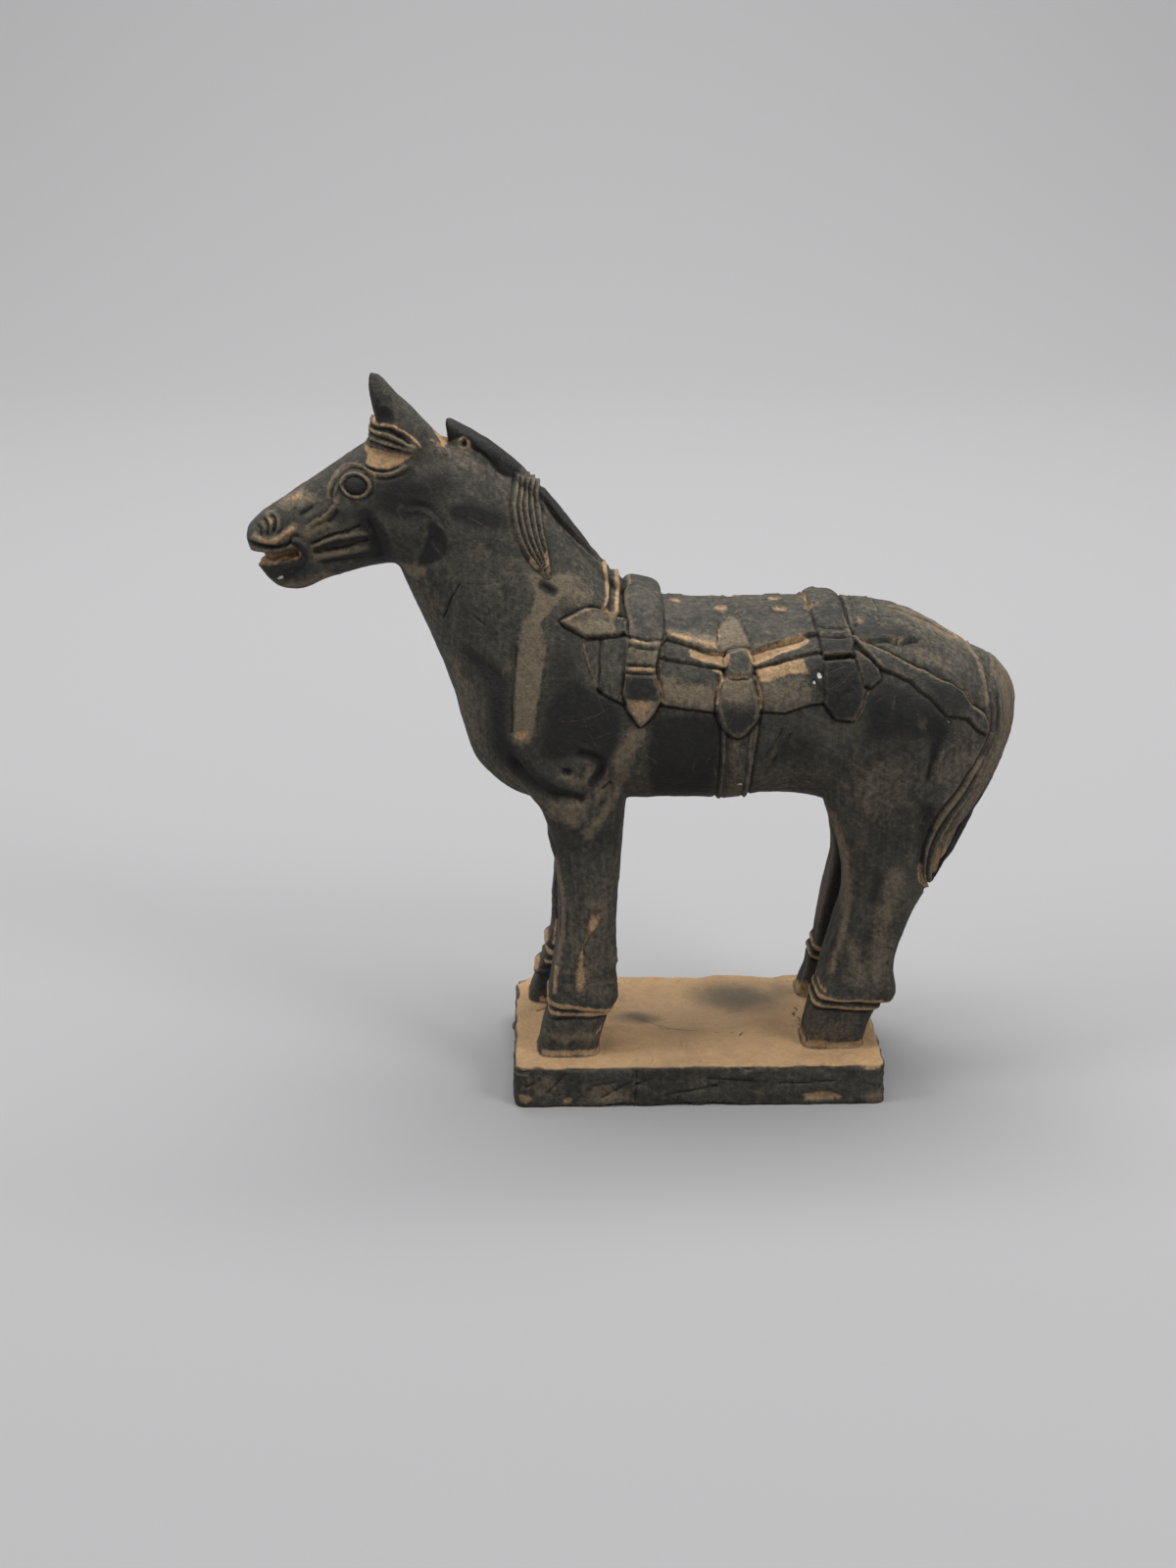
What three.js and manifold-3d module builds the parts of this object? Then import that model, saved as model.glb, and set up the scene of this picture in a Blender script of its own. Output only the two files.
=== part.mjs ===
// A small moulded clay horse standing on its own thin plinth, built as one closed solid.
// Units are millimetres and +Z is up. The horse faces -X, and the origin is the centre of
// the plinth's underside. Every section of the horse is a rounded ring, and a body, leg,
// ear or tail is a skin laid over a row of such rings.

import * as THREE from 'three'
import { mergeVertices } from 'three/addons/utils/BufferGeometryUtils.js'
import Module from 'manifold-3d'

const wasm = await Module()
wasm.setup()

// Driving dimensions of the plinth
const PLINTH_LENGTH = 94
const PLINTH_WIDTH = 54
const PLINTH_HEIGHT = 11
const PLINTH_CORNER = 2.4
const PLINTH_EDGE = 0.4

// Driving dimensions of the animal, measured from the plinth's centre
const BACK_HEIGHT = 123.9
const BELLY_HEIGHT = 76.6
const BODY_HALF_WIDTH = 24.5
const LEG_INNER = 5.5
const LEG_OUTER = 21.5
const HOOF_FLARE = 0.8
const HOOF_TOP = 24
const KNEE_HEIGHT = 66
const EAR_TIP = 183.2

// How finely the rings and the rows of rings are cut
const BODY_SIDES = 26
const LIMB_SIDES = 14
const SMALL_SIDES = 10

// Relief that stands proud of the body, as thickness over the bare skin
const CLOTH = 0.7
const SEAT = 1.2
const STRAP = 1.5
const BUCKLE = 2.3
const ROLL = 3.8

const CLAY = new THREE.MeshStandardMaterial({ color: 0x45443e, roughness: 0.85, metalness: 0 })

// Makes a closed three.js geometry into a solid that can be joined and cut.
function solid(geometry) {
  const bare = geometry.clone()
  bare.deleteAttribute('normal')
  bare.deleteAttribute('uv')
  const merged = mergeVertices(bare, 1e-4)
  const mesh = new wasm.Mesh({
    numProp: 3,
    vertProperties: new Float32Array(merged.attributes.position.array),
    triVerts: new Uint32Array(merged.index.array),
  })
  return new wasm.Manifold(mesh)
}

// A smooth value through a list of numbers, with t running from 0 to the last index.
function smooth(values, t) {
  const last = values.length - 1
  const i = Math.min(Math.floor(t), last - 1)
  const u = t - i
  const at = (k) => values[Math.min(Math.max(k, 0), last)]
  const slopeIn = (at(i + 1) - at(i - 1)) / 2
  const slopeOut = (at(i + 2) - at(i)) / 2
  const a = 2 * u ** 3 - 3 * u ** 2 + 1
  const b = u ** 3 - 2 * u ** 2 + u
  const c = -2 * u ** 3 + 3 * u ** 2
  const d = u ** 3 - u ** 2
  return a * at(i) + b * slopeIn + c * at(i + 1) + d * slopeOut
}

// Cuts a row of sections into a finer row, blending every number in them.
function finer(sections, steps) {
  const rows = []
  const count = (sections.length - 1) * steps
  for (let k = 0; k <= count; k += 1) {
    const t = k / steps
    rows.push(sections[0].map((_, column) => smooth(sections.map((s) => s[column]), t)))
  }
  return rows
}

// One rounded ring about a centre, spanned by two half axes. Power 2 is an ellipse and a
// higher power is squarer.
function ring(centre, across, aside, power, sides) {
  const points = []
  for (let j = 0; j < sides; j += 1) {
    const angle = (2 * Math.PI * j) / sides
    const c = Math.cos(angle)
    const s = Math.sin(angle)
    const ca = Math.sign(c) * Math.abs(c) ** (2 / power)
    const sa = Math.sign(s) * Math.abs(s) ** (2 / power)
    const point = centre.clone()
    point.addScaledVector(across, ca)
    point.addScaledVector(aside, sa)
    points.push(point)
  }
  return points
}

// Lays a closed skin over a row of rings, with a flat fan at each end.
function skin(rings) {
  const sides = rings[0].length
  const positions = []
  const triangle = (a, b, c) => positions.push(...a.toArray(), ...b.toArray(), ...c.toArray())
  const middle = (points) => {
    const sum = new THREE.Vector3()
    points.forEach((p) => sum.add(p))
    return sum.divideScalar(points.length)
  }
  for (let i = 0; i + 1 < rings.length; i += 1) {
    for (let j = 0; j < sides; j += 1) {
      const k = (j + 1) % sides
      triangle(rings[i][j], rings[i + 1][j], rings[i][k])
      triangle(rings[i + 1][j], rings[i + 1][k], rings[i][k])
    }
  }
  const first = rings[0]
  const last = rings[rings.length - 1]
  for (let j = 0; j < sides; j += 1) {
    const k = (j + 1) % sides
    triangle(middle(first), first[j], first[k])
    triangle(middle(last), last[k], last[j])
  }
  const geometry = new THREE.BufferGeometry()
  geometry.setAttribute('position', new THREE.Float32BufferAttribute(positions, 3))
  return geometry
}

// Rings between a top outline and a bottom outline seen from the side. A section is
// [top x, top z, bottom x, bottom z, half width], and extra swells it all round.
function ladder(sections, steps, sides, power, extra = 0) {
  return finer(sections, steps).map(([topX, topZ, lowX, lowZ, half]) => {
    const centre = new THREE.Vector3((topX + lowX) / 2, 0, (topZ + lowZ) / 2)
    const across = new THREE.Vector3((topX - lowX) / 2, 0, (topZ - lowZ) / 2)
    across.setLength(across.length() + extra)
    return ring(centre, across, new THREE.Vector3(0, half + extra, 0), power, sides)
  })
}

// Level rings up a leg, ear or tail. A section is [height, front x, rear x, inner y, outer y],
// listed from the top down, and side is -1 or 1.
function column(sections, steps, sides, power, side = 1) {
  return finer(sections, steps).map(([z, front, rear, inner, outer]) => {
    const centre = new THREE.Vector3((front + rear) / 2, (side * (inner + outer)) / 2, z)
    const across = new THREE.Vector3((rear - front) / 2, 0, 0)
    const aside = new THREE.Vector3(0, (outer - inner) / 2, 0)
    return ring(centre, across, aside, power, sides)
  })
}

// A plate cut by a side outline [x, z] and running right through the animal's width.
function slab(outline, low = -60, high = 60) {
  const shape = new THREE.Shape(outline.map(([x, z]) => new THREE.Vector2(x, z)))
  const geometry = new THREE.ExtrudeGeometry(shape, { depth: high - low, bevelEnabled: false })
  geometry.rotateX(Math.PI / 2)
  geometry.translate(0, high, 0)
  return solid(geometry)
}

// The plinth: a low block with rounded corners and softened edges.
function plinth() {
  const x = PLINTH_LENGTH / 2 - PLINTH_EDGE
  const y = PLINTH_WIDTH / 2 - PLINTH_EDGE
  const r = PLINTH_CORNER - PLINTH_EDGE
  const shape = new THREE.Shape()
  shape.moveTo(-x + r, -y)
  shape.lineTo(x - r, -y)
  shape.absarc(x - r, -y + r, r, -Math.PI / 2, 0)
  shape.lineTo(x, y - r)
  shape.absarc(x - r, y - r, r, 0, Math.PI / 2)
  shape.lineTo(-x + r, y)
  shape.absarc(-x + r, y - r, r, Math.PI / 2, Math.PI)
  shape.lineTo(-x, -y + r)
  shape.absarc(-x + r, -y + r, r, Math.PI, 1.5 * Math.PI)
  const geometry = new THREE.ExtrudeGeometry(shape, {
    depth: PLINTH_HEIGHT - 2 * PLINTH_EDGE,
    bevelThickness: PLINTH_EDGE,
    bevelSize: PLINTH_EDGE,
    bevelSegments: 1,
    curveSegments: 4,
  })
  geometry.translate(0, 0, PLINTH_EDGE)
  return solid(geometry)
}

// Neck, chest, barrel and rump, from inside the head to the tail.
const BARREL = [
  [-68, 165.5, -75.6, 141, 8.5],
  [-61, 166, -73, 133.5, 11],
  [-54, 163.2, -69.8, 126, 12.8],
  [-46, 157.5, -66.4, 118.5, 14.6],
  [-38, 149.8, -63.4, 111, 16.8],
  [-30, 140.5, -60.6, 103, 19.2],
  [-23, 132, -58.8, 95, 21.4],
  [-16, 127, -55.8, 86.5, 23],
  [-8, BACK_HEIGHT + 0.6, -48, 79, 23.8],
  [1, BACK_HEIGHT, -36, 75.2, BODY_HALF_WIDTH - 0.3],
  [10, BACK_HEIGHT, -18, BELLY_HEIGHT, BODY_HALF_WIDTH],
  [20, BACK_HEIGHT, 2, BELLY_HEIGHT, BODY_HALF_WIDTH],
  [30, BACK_HEIGHT + 0.6, 20, BELLY_HEIGHT + 0.9, BODY_HALF_WIDTH],
  [41, BACK_HEIGHT + 0.6, 33, 74.6, BODY_HALF_WIDTH + 0.3],
  [52, 121.8, 45, 68, BODY_HALF_WIDTH],
  [62, 116.6, 55, 63, 23],
  [70, 111.2, 63, 66, 19.5],
  [75, 105.6, 70, 76, 14],
  [77.6, 99, 75, 86, 6],
]

// Head, from the muzzle to the poll inside the neck.
const HEAD = [
  [-109.9, 142.6, -109.2, 139.6, 2],
  [-109.6, 145.6, -106.6, 134.4, 5],
  [-106.6, 148.6, -103.2, 130.6, 6.6],
  [-101.5, 152.4, -97.5, 129.8, 7.4],
  [-94.5, 157, -91.4, 132.2, 8.6],
  [-87.2, 161.8, -84.6, 134.2, 10.4],
  [-80.5, 165.8, -77.4, 135.9, 12],
  [-72.5, 168, -69.5, 136, 12.8],
  [-65, 167.6, -61.5, 138.5, 12],
  [-59.5, 164, -55.5, 144, 8],
]

const FORE_LEG = [
  [92, -48, -20, 3, 22.5],
  [84, -44.5, -18.5, 3.5, 23],
  [76, -39.5, -19.2, 4.5, 22.6],
  [66, -37, -19.8, LEG_INNER, LEG_OUTER],
  [54, -35.8, -20.8, LEG_INNER, LEG_OUTER],
  [42, -36, -21.2, LEG_INNER, LEG_OUTER],
  [33, -37.4, -21.2, LEG_INNER - 0.3, LEG_OUTER + 0.3],
  [27, -38.4, -20.8, LEG_INNER - 0.6, LEG_OUTER + HOOF_FLARE],
  [HOOF_TOP - 1, -38.2, -23.2, LEG_INNER, LEG_OUTER],
  [19, -39.6, -24.2, LEG_INNER - 0.3, LEG_OUTER + 0.3],
  [PLINTH_HEIGHT - 1, -41.2, -25.8, LEG_INNER - HOOF_FLARE, LEG_OUTER + HOOF_FLARE],
]

const HIND_LEG = [
  [98, 26, 70, 2, 22],
  [88, 27, 69.5, 2.5, 23.8],
  [80, 29.5, 67, 3, 23.8],
  [72, 32.2, 63.6, 4, 23],
  [64, 34.8, 60.4, LEG_INNER, 22],
  [54, 35.8, 55.8, LEG_INNER, LEG_OUTER],
  [44, 33.8, 51.8, LEG_INNER, LEG_OUTER],
  [35, 31.6, 49.2, LEG_INNER - 0.3, LEG_OUTER + 0.3],
  [HOOF_TOP + 2, 30.2, 49, LEG_INNER - 0.6, LEG_OUTER + HOOF_FLARE],
  [HOOF_TOP - 1, 28.8, 45, LEG_INNER, LEG_OUTER],
  [19, 27.8, 43.2, LEG_INNER - 0.3, LEG_OUTER + 0.3],
  [PLINTH_HEIGHT - 1, 26.6, 42, LEG_INNER - HOOF_FLARE, LEG_OUTER + HOOF_FLARE],
]

// How each foot differs from a leg that goes straight down: the shift of its front edge,
// its inner and outer limits across the plinth, and the reach of its toe
const FEET = {
  nearFore: { side: -1, lean: 0, inner: 6.5, outer: 20.8, toe: 0 },
  nearHind: { side: -1, lean: 0, inner: 5.5, outer: 17.4, toe: 0 },
  farFore: { side: 1, lean: -2.2, inner: 10, outer: 23, toe: 0 },
  farHind: { side: 1, lean: 3, inner: 12.5, outer: 23.4, toe: -2.6 },
}

const EAR = [
  [EAR_TIP, -79.3, -78.4, 4.2, 5.4],
  [EAR_TIP - 1.5, -79.6, -77.3, 3.7, 6.1],
  [EAR_TIP - 3.6, -79.6, -75.5, 3, 7],
  [176.2, -79, -72.3, 2.2, 8],
  [172.4, -78.4, -69.1, 1.4, 9],
  [169.4, -78.2, -65.8, 1, 9.4],
  [164, -77.6, -62, 0.8, 9.6],
]

// The far ear is this much lower than the near one
const EAR_DROP = 2.2

const TAIL = [
  [112.4, 62, 70.8, -5, 5],
  [106.6, 64, 76.6, -5.8, 5.8],
  [98, 66, 79.2, -6.2, 6.2],
  [89, 66, 77.8, -6.6, 6.6],
  [79, 60, 74.4, -7, 7],
  [69, 55, 69.6, -6.8, 6.8],
  [60, 54, 65.4, -5.6, 5.6],
  [53.5, 55, 62, -3.8, 3.8],
  [50, 57.6, 60.6, -1.6, 1.6],
]

// The clipped mane: [top x, top z, foot x, foot z, half width] down the crest of the neck.
const MANE = [
  [-61.9, 170.8, -60.6, 162, 2.6],
  [-60.4, 171, -59.2, 162, 3.2],
  [-52, 166.2, -53, 160, 3.6],
  [-44, 159.8, -47, 154, 4],
  [-34.5, 149.2, -37, 144, 4.6],
  [-25, 136.6, -28, 133, 5],
  [-17, 129.6, -20, 126, 5],
]

// A leg whose rings below the knee move step by step to the place of its own foot.
function leg(sections, foot) {
  const footed = sections.map(([z, front, rear, inner, outer], i) => {
    const drop = Math.max(0, (KNEE_HEIGHT - z) / (KNEE_HEIGHT - PLINTH_HEIGHT))
    const toe = i === sections.length - 1 ? foot.toe : 0
    const near = inner + (foot.inner - LEG_INNER) * drop
    const far = outer + (foot.outer - LEG_OUTER) * drop
    return [z, front + foot.lean * drop + toe, rear, near, far]
  })
  return solid(skin(column(footed, 1, LIMB_SIDES, 3, foot.side)))
}

// An ear stands upright, with a straight front and a long slope behind.
function ear(side, drop) {
  const lowered = EAR.map(([z, ...rest]) => [z - drop, ...rest])
  return solid(skin(column(lowered, 1, SMALL_SIDES, 2, side)))
}

// The bundle of hair that hangs between the ears and is swept back under them.
function forelock() {
  const sections = [
    [-79.6, 170.8, -79.4, 164, 4],
    [-77, 171.4, -76, 163, 8.4],
    [-71, 169.6, -70.5, 162.5, 11.2],
    [-66, 166.5, -66.5, 163, 10.6],
  ]
  return solid(skin(ladder(sections, 1, SMALL_SIDES, 2.4)))
}

// The open mouth: a wedge cut in from each side and a small notch in front.
function mouth() {
  const slot = [[-112, 138.8], [-112, 136], [-105, 136.4], [-98.6, 138], [-98, 140], [-104, 139.4]]
  const near = slab(slot, -20, -2.6)
  const far = slab(slot, 2.6, 20)
  const notch = slab([[-112, 138.2], [-112, 135.4], [-106, 135.8], [-105.4, 137.6]])
  return near.add(far).add(notch)
}

// Skin of the barrel swollen by a thickness, for plates and straps that hug it.
function swollen(extra) {
  return solid(skin(ladder(BARREL, 2, BODY_SIDES, 2.3, extra)))
}

// Everything laid on the body: [thickness, side outline]. An outline that reaches above the
// back wraps over it, and the same straps show on both sides.
const OVER = 140
const HARNESS = {
  cloth: [CLOTH, [[-19, OVER], [-19, 109], [-12, 106.8], [3, 104.6], [13, 104.4], [26, 107.4],
    [37, 104], [37, OVER]]],
  seat: [SEAT, [[-13, OVER], [-13, 121.4], [-3, 120], [7, 118.6], [17, 120.4], [28, 122.6], [28, OVER]]],
  withersStrap: [SEAT, [[-24.8, OVER], [-24.8, 110], [-19.6, 106], [-19.6, OVER]]],
  pommelTab: [STRAP, [[-18.6, 118], [-18.8, 107.4], [-15.6, 101], [-12, 105.6], [-12.4, 118]]],
  pommelRoll: [ROLL, [[-18, OVER], [-18.2, 115.6], [-12.4, 115.6], [-12, OVER]]],
  chestTab: [STRAP, [[-34.4, 126], [-30, 128.6], [-18, 127], [-18, 123], [-29, 122.8]]],
  cantleRoll: [ROLL - 1.4, [[27.4, OVER], [27.6, 121], [29, 100.6], [34.6, 101.6], [34.8, OVER]]],
  girth: [CLOTH, [[3.6, 106], [4, 60], [10.8, 60], [11.4, 106]]],
  buckle: [BUCKLE, [[4.4, 119], [4.4, 113], [10.2, 113], [10.2, 119]]],
  bell: [BUCKLE - 0.4, [[5, 112.4], [2.4, 103.8], [7.4, 99], [12.6, 103.6], [10, 112.4]]],
  shield: [CLOTH + 0.4, [[35, 122], [35, 102], [38, 109.6], [42.2, 112.8], [41, 119]]],
  crupper: [SEAT, [[35, 121.8], [47.5, 116.4], [58.6, 110.6], [68.6, 101.4], [66.4, 98],
    [57.6, 103.4], [48.6, 111], [35, 119.8]]],
  croupRidge: [CLOTH, [[33.4, OVER], [34.6, 124.6], [36.6, 123], [36.6, OVER]]],
}

// The horse with its plinth, joined into one body.
function clayHorse() {
  let body = swollen(0)
  for (const [extra, outline] of Object.values(HARNESS)) {
    body = body.add(swollen(extra).intersect(slab(outline)))
  }
  body = body.add(solid(skin(ladder(HEAD, 2, BODY_SIDES - 6, 2.3))).subtract(mouth()))
  body = body.add(solid(skin(ladder(MANE, 2, SMALL_SIDES, 2.6))))
  body = body.add(forelock())
  body = body.add(ear(-1, 0)).add(ear(1, EAR_DROP))
  body = body.add(leg(FORE_LEG, FEET.nearFore)).add(leg(FORE_LEG, FEET.farFore))
  body = body.add(leg(HIND_LEG, FEET.nearHind)).add(leg(HIND_LEG, FEET.farHind))
  body = body.add(solid(skin(column(TAIL, 2, SMALL_SIDES, 2.4))))
  return body.add(plinth())
}

// Turns a joined solid back into three.js geometry.
function geometryOf(body) {
  const mesh = body.getMesh()
  const geometry = new THREE.BufferGeometry()
  geometry.setAttribute('position', new THREE.Float32BufferAttribute(mesh.vertProperties, 3))
  geometry.setIndex(new THREE.Uint32BufferAttribute(mesh.triVerts, 1))
  return geometry
}

const group = new THREE.Group()
const horse = new THREE.Mesh(geometryOf(clayHorse()), CLAY)
horse.name = 'clay_horse'
group.add(horse)

export default group
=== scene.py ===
"""A small moulded clay horse on its plinth: the visual model, its finish, light and camera.

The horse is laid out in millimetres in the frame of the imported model: the horse faces -X, its
near side is -Y, and the origin is the centre of the plinth's underside. Its masses are skins
laid over rows of rounded rings, fused into one body, and the carving is then pressed into or
raised from that body along lines and outlines. The outlines' points were picked by eye on the
photograph and turned into millimetres by a separate script, and many were then moved by hand.
"""

import logging
import math
from dataclasses import dataclass, field
from enum import Enum
from typing import Any, Sequence

import bpy
import numpy as np
from mathutils import Euler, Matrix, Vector
from mathutils.bvhtree import BVHTree

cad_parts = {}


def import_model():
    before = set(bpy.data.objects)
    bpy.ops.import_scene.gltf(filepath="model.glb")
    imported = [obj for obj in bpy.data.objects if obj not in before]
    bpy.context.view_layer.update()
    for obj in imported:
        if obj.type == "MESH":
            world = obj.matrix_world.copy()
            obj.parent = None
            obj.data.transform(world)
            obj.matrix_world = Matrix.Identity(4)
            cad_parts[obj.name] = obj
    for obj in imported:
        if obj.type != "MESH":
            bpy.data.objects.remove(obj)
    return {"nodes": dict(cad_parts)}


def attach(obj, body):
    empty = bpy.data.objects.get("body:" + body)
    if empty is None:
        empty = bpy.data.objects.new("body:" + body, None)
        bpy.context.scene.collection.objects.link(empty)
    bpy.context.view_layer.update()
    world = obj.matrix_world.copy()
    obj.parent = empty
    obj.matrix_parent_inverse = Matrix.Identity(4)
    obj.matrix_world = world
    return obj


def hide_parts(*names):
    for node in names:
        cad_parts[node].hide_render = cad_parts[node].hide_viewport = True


LOG = logging.getLogger("clay_horse")
Array = np.ndarray
Points = Sequence[Sequence[float]]

# Lengths are in millimetres until the mesh is finished, and MM turns them into metres
MM = 0.001
PLINTH_HEIGHT = 11.0
PLINTH_LENGTH = 94.0
PLINTH_WIDTH = 54.0
FUSE_CELL = 0.4
TRIANGLE_LIMIT = 192000

# The unsteady hand: how far a line wanders, and over what length, slowly and quickly
HAND_DRIFT = 0.24
DRIFT_SIZE = 4.5
HAND_QUIVER = 0.1
QUIVER_SIZE = 1.5
WEAR_SPREAD = 0.35
WEAR_SIZE = 4.0

# How finely curves are cut, for carving and for patches of finish
CURVE_PITCH = 0.6
COVER_PITCH = 1.2

# Rays that lay a line on a flank start this far from the middle plane
RAY_START = 90.0

# Passes that even the fused surface, and how far a point moves to its neighbours' mean
SEAM_PASSES = 90
FOOT_PASSES = 12
SKIN_PASSES = 6
SEAM_PULL = 0.6
SKIN_PULL = 0.5
NORMAL_PASSES = 3

# Relief is compared with its mean over this many passes, in this unit
DETAIL_PASSES = 9
DETAIL_UNIT = 0.3

# Points lower than this are put on the ground, so that the underside is flat
GROUND_SNAP = 0.35

# Odd multipliers that scramble a lattice corner's whole numbers
SCRAMBLE = np.array([374761393, 668265263, 1442695041])
SEED_STEP = 97


class Side(Enum):
    """Which flank of the horse a piece of carving is on."""

    NEAR = -1
    FAR = 1
    BOTH = 0


class Tint(Enum):
    """What a patch of the surface shows, each kept as one attribute of the mesh."""

    BARE = "bare_clay"
    # This finish holds real smoky patches and also painted shade on the legs' facing sides and the far hind
    # leg's front.
    SOOT = "soot"
    DUST = "dust"
    CHIP = "chip"
    CLOUD = "cloud"


def step(low: float, high: float, values: Array) -> Array:
    """Rises smoothly from 0 at low to 1 at high, as 3t^2 - 2t^3.

    Args:
        low: where the rise starts.
        high: where it ends, which may be below low for a fall.
        values: any array.

    Returns:
        The rise at each value.
    """
    t = np.clip((values - low) / (high - low), 0.0, 1.0)
    return t * t * (3.0 - 2.0 * t)


def blend_rows(rows: Array, count: int) -> Array:
    """Blends a table of rows into a finer one with a cubic that passes through every row.

    Args:
        rows: the given rows, one per line.
        count: how many rows come out, evenly spaced in row number.

    Returns:
        The finer table. Between rows p1 and p2 the slope at each is half the difference of
        its neighbours.
    """
    last = len(rows) - 1
    t = np.linspace(0.0, last, count)
    i = np.minimum(t.astype(int), last - 1)
    u = (t - i)[:, None]
    p0, p1, p2, p3 = (rows[np.clip(i + k, 0, last)] for k in (-1, 0, 1, 2))
    return 0.5 * (2 * p1 + (p2 - p0) * u + (2 * p0 - 5 * p1 + 4 * p2 - p3) * u**2
                  + (3 * p1 - p0 - 3 * p2 + p3) * u**3)


def curve_through(points: Points, pitch: float = CURVE_PITCH) -> Array:
    """A smooth line through a few points, cut about every pitch.

    Args:
        points: the points the line passes through.
        pitch: the length of one cut.

    Returns:
        The points of the cut line.
    """
    rows = np.asarray(points, float)
    if len(rows) < 2:
        return rows
    length = np.linalg.norm(np.diff(rows, axis=0), axis=1).sum()
    return blend_rows(rows, max(int(length / pitch), len(rows)) + 1)


def lumps(points: Array, size: float, seed: int) -> Array:
    """Smooth random swelling between -1 and 1 with a given size of lump.

    A whole number is scrambled at each corner of a lattice of that size, and the eight
    corners round a point are blended by the smooth step of its place in the cell.

    Args:
        points: places, one per row.
        size: the lattice's cell.
        seed: picks one of many patterns.

    Returns:
        One value per place.
    """
    cell = points / size + seed * 13.7
    base = np.floor(cell)
    f = cell - base
    f = f * f * (3.0 - 2.0 * f)
    base = base.astype(np.int64)
    total = np.zeros(len(points))
    for corner in np.ndindex(2, 2, 2):
        k = base + np.array(corner)
        code = (k @ SCRAMBLE + seed * SEED_STEP) & 0xFFFFFFFF
        code = ((code ^ (code >> 13)) * 1274126177) & 0xFFFFFFFF
        value = ((code ^ (code >> 16)) & 0xFFFF) / 32767.5 - 1.0
        share = np.prod(np.where(np.array(corner) == 1, f, 1.0 - f), axis=1)
        total += value * share
    return total


def line_distance(places: Array, line: Array) -> tuple[Array, Array]:
    """How far each place is from a cut line, and how far along the line it lies.

    Args:
        places: places in two or three dimensions.
        line: the cut line's points, in as many dimensions.

    Returns:
        The distance, and the nearest point's share of the line's length from 0 to 1.
    """
    best = np.full(len(places), np.inf)
    along = np.zeros(len(places))
    if len(line) == 1:
        return np.linalg.norm(places - line[0], axis=1), along + 0.5
    count = len(line) - 1
    for i in range(count):
        a = line[i]
        run = line[i + 1] - a
        t = np.clip((places - a) @ run / max(run @ run, 1e-9), 0.0, 1.0)
        gap = np.linalg.norm(places - a - t[:, None] * run, axis=1)
        nearer = gap < best
        best = np.where(nearer, gap, best)
        along = np.where(nearer, (i + t) / count, along)
    return best, along


def outline_distance(places: Array, outline: Array) -> Array:
    """Signed distance to a closed outline in the side view, negative inside.

    Args:
        places: [x, z] places.
        outline: the outline's corners in order.

    Returns:
        The distance to the nearest edge, with its sign from counting the edges crossed by a
        level ray.
    """
    closed = np.vstack([outline, outline[:1]])
    gap, _ = line_distance(places, closed)
    inside = np.zeros(len(places), bool)
    for a, b in zip(closed[:-1], closed[1:]):
        spans = (a[1] > places[:, 1]) != (b[1] > places[:, 1])
        if a[1] == b[1]:
            continue
        cross = (b[0] - a[0]) * (places[:, 1] - a[1]) / (b[1] - a[1]) + a[0]
        inside ^= spans & (places[:, 0] < cross)
    return np.where(inside, -gap, gap)


class Skin:
    """The horse's bare fused surface, on which lines are laid and relief is worked out."""

    def __init__(self, points: Array, tree: BVHTree) -> None:
        """Keeps the surface's points, wavering copies of them and a tree for laying lines.

        Every outline and line is measured from the wavering copy, so that its course is
        unsteady as if cut by hand.

        Args:
            points: places on the surface in millimetres.
            tree: the surface's search tree, in millimetres.
        """
        self.points = points
        self.tree = tree
        drift = np.stack([lumps(points, DRIFT_SIZE, seed) for seed in (21, 22, 23)], axis=1)
        quiver = np.stack([lumps(points, QUIVER_SIZE, seed) for seed in (24, 25, 26)], axis=1)
        self.wavy = points + HAND_DRIFT * drift + HAND_QUIVER * quiver
        self.flat = self.wavy[:, [0, 2]]
        self.wear = 1.0 + WEAR_SPREAD * lumps(points, WEAR_SIZE, 27)

    def side_weight(self, side: Side) -> Array:
        """1 on the flank that a piece of carving is on, fading to 0 across the middle."""
        if side is Side.BOTH:
            return np.ones(len(self.points))
        return step(-0.6, 0.6, self.points[:, 1] * side.value)

    def lay(self, line: Array, side: Side) -> Array:
        """Lays a side-view line on one flank.

        Args:
            line: [x, z] points.
            side: the flank.

        Returns:
            [x, y, z] points where rays from that flank first meet the surface.
        """
        laid = []
        start = RAY_START * side.value
        for x, z in line:
            hit = self.tree.ray_cast(Vector((x, start, z)), Vector((0.0, -float(side.value), 0.0)))[0]
            if hit is None:
                hit = self.tree.find_nearest(Vector((x, 0.0, z)))[0]
            laid.append((hit.x, hit.y, hit.z))
        return np.array(laid)

    def near_line(self, line: Array, side: Side, reach: float) -> tuple[Array, Array, Array]:
        """Distances to a laid line for the places within reach of it only.

        Args:
            line: [x, z] points.
            side: the flank, never both.
            reach: how far the effect of the line goes.

        Returns:
            The places' numbers, their distances, and their shares of the line's length.
        """
        laid = self.lay(line, side)
        low = laid.min(axis=0) - reach - 0.5
        high = laid.max(axis=0) + reach + 0.5
        close = np.flatnonzero(np.all((self.points > low) & (self.points < high), axis=1))
        gap, along = line_distance(self.wavy[close], laid)
        return close, gap, along

    def within(self, line: Array, reach: float) -> Array:
        """The numbers of the places whose side view is in a line's box, grown by reach."""
        low, high = line.min(axis=0) - reach, line.max(axis=0) + reach
        return np.flatnonzero(np.all((self.flat > low) & (self.flat < high), axis=1))


def flanks(side: Side) -> list[Side]:
    """The flank or both flanks that a piece of carving is on."""
    return [Side.NEAR, Side.FAR] if side is Side.BOTH else [side]


def closed_curve(outline: Points, pitch: float = CURVE_PITCH) -> Array:
    """A smooth closed line through an outline's corners."""
    corners = np.asarray(outline, float)
    return curve_through(np.vstack([corners, corners[:1]]), pitch)[:-1]


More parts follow.
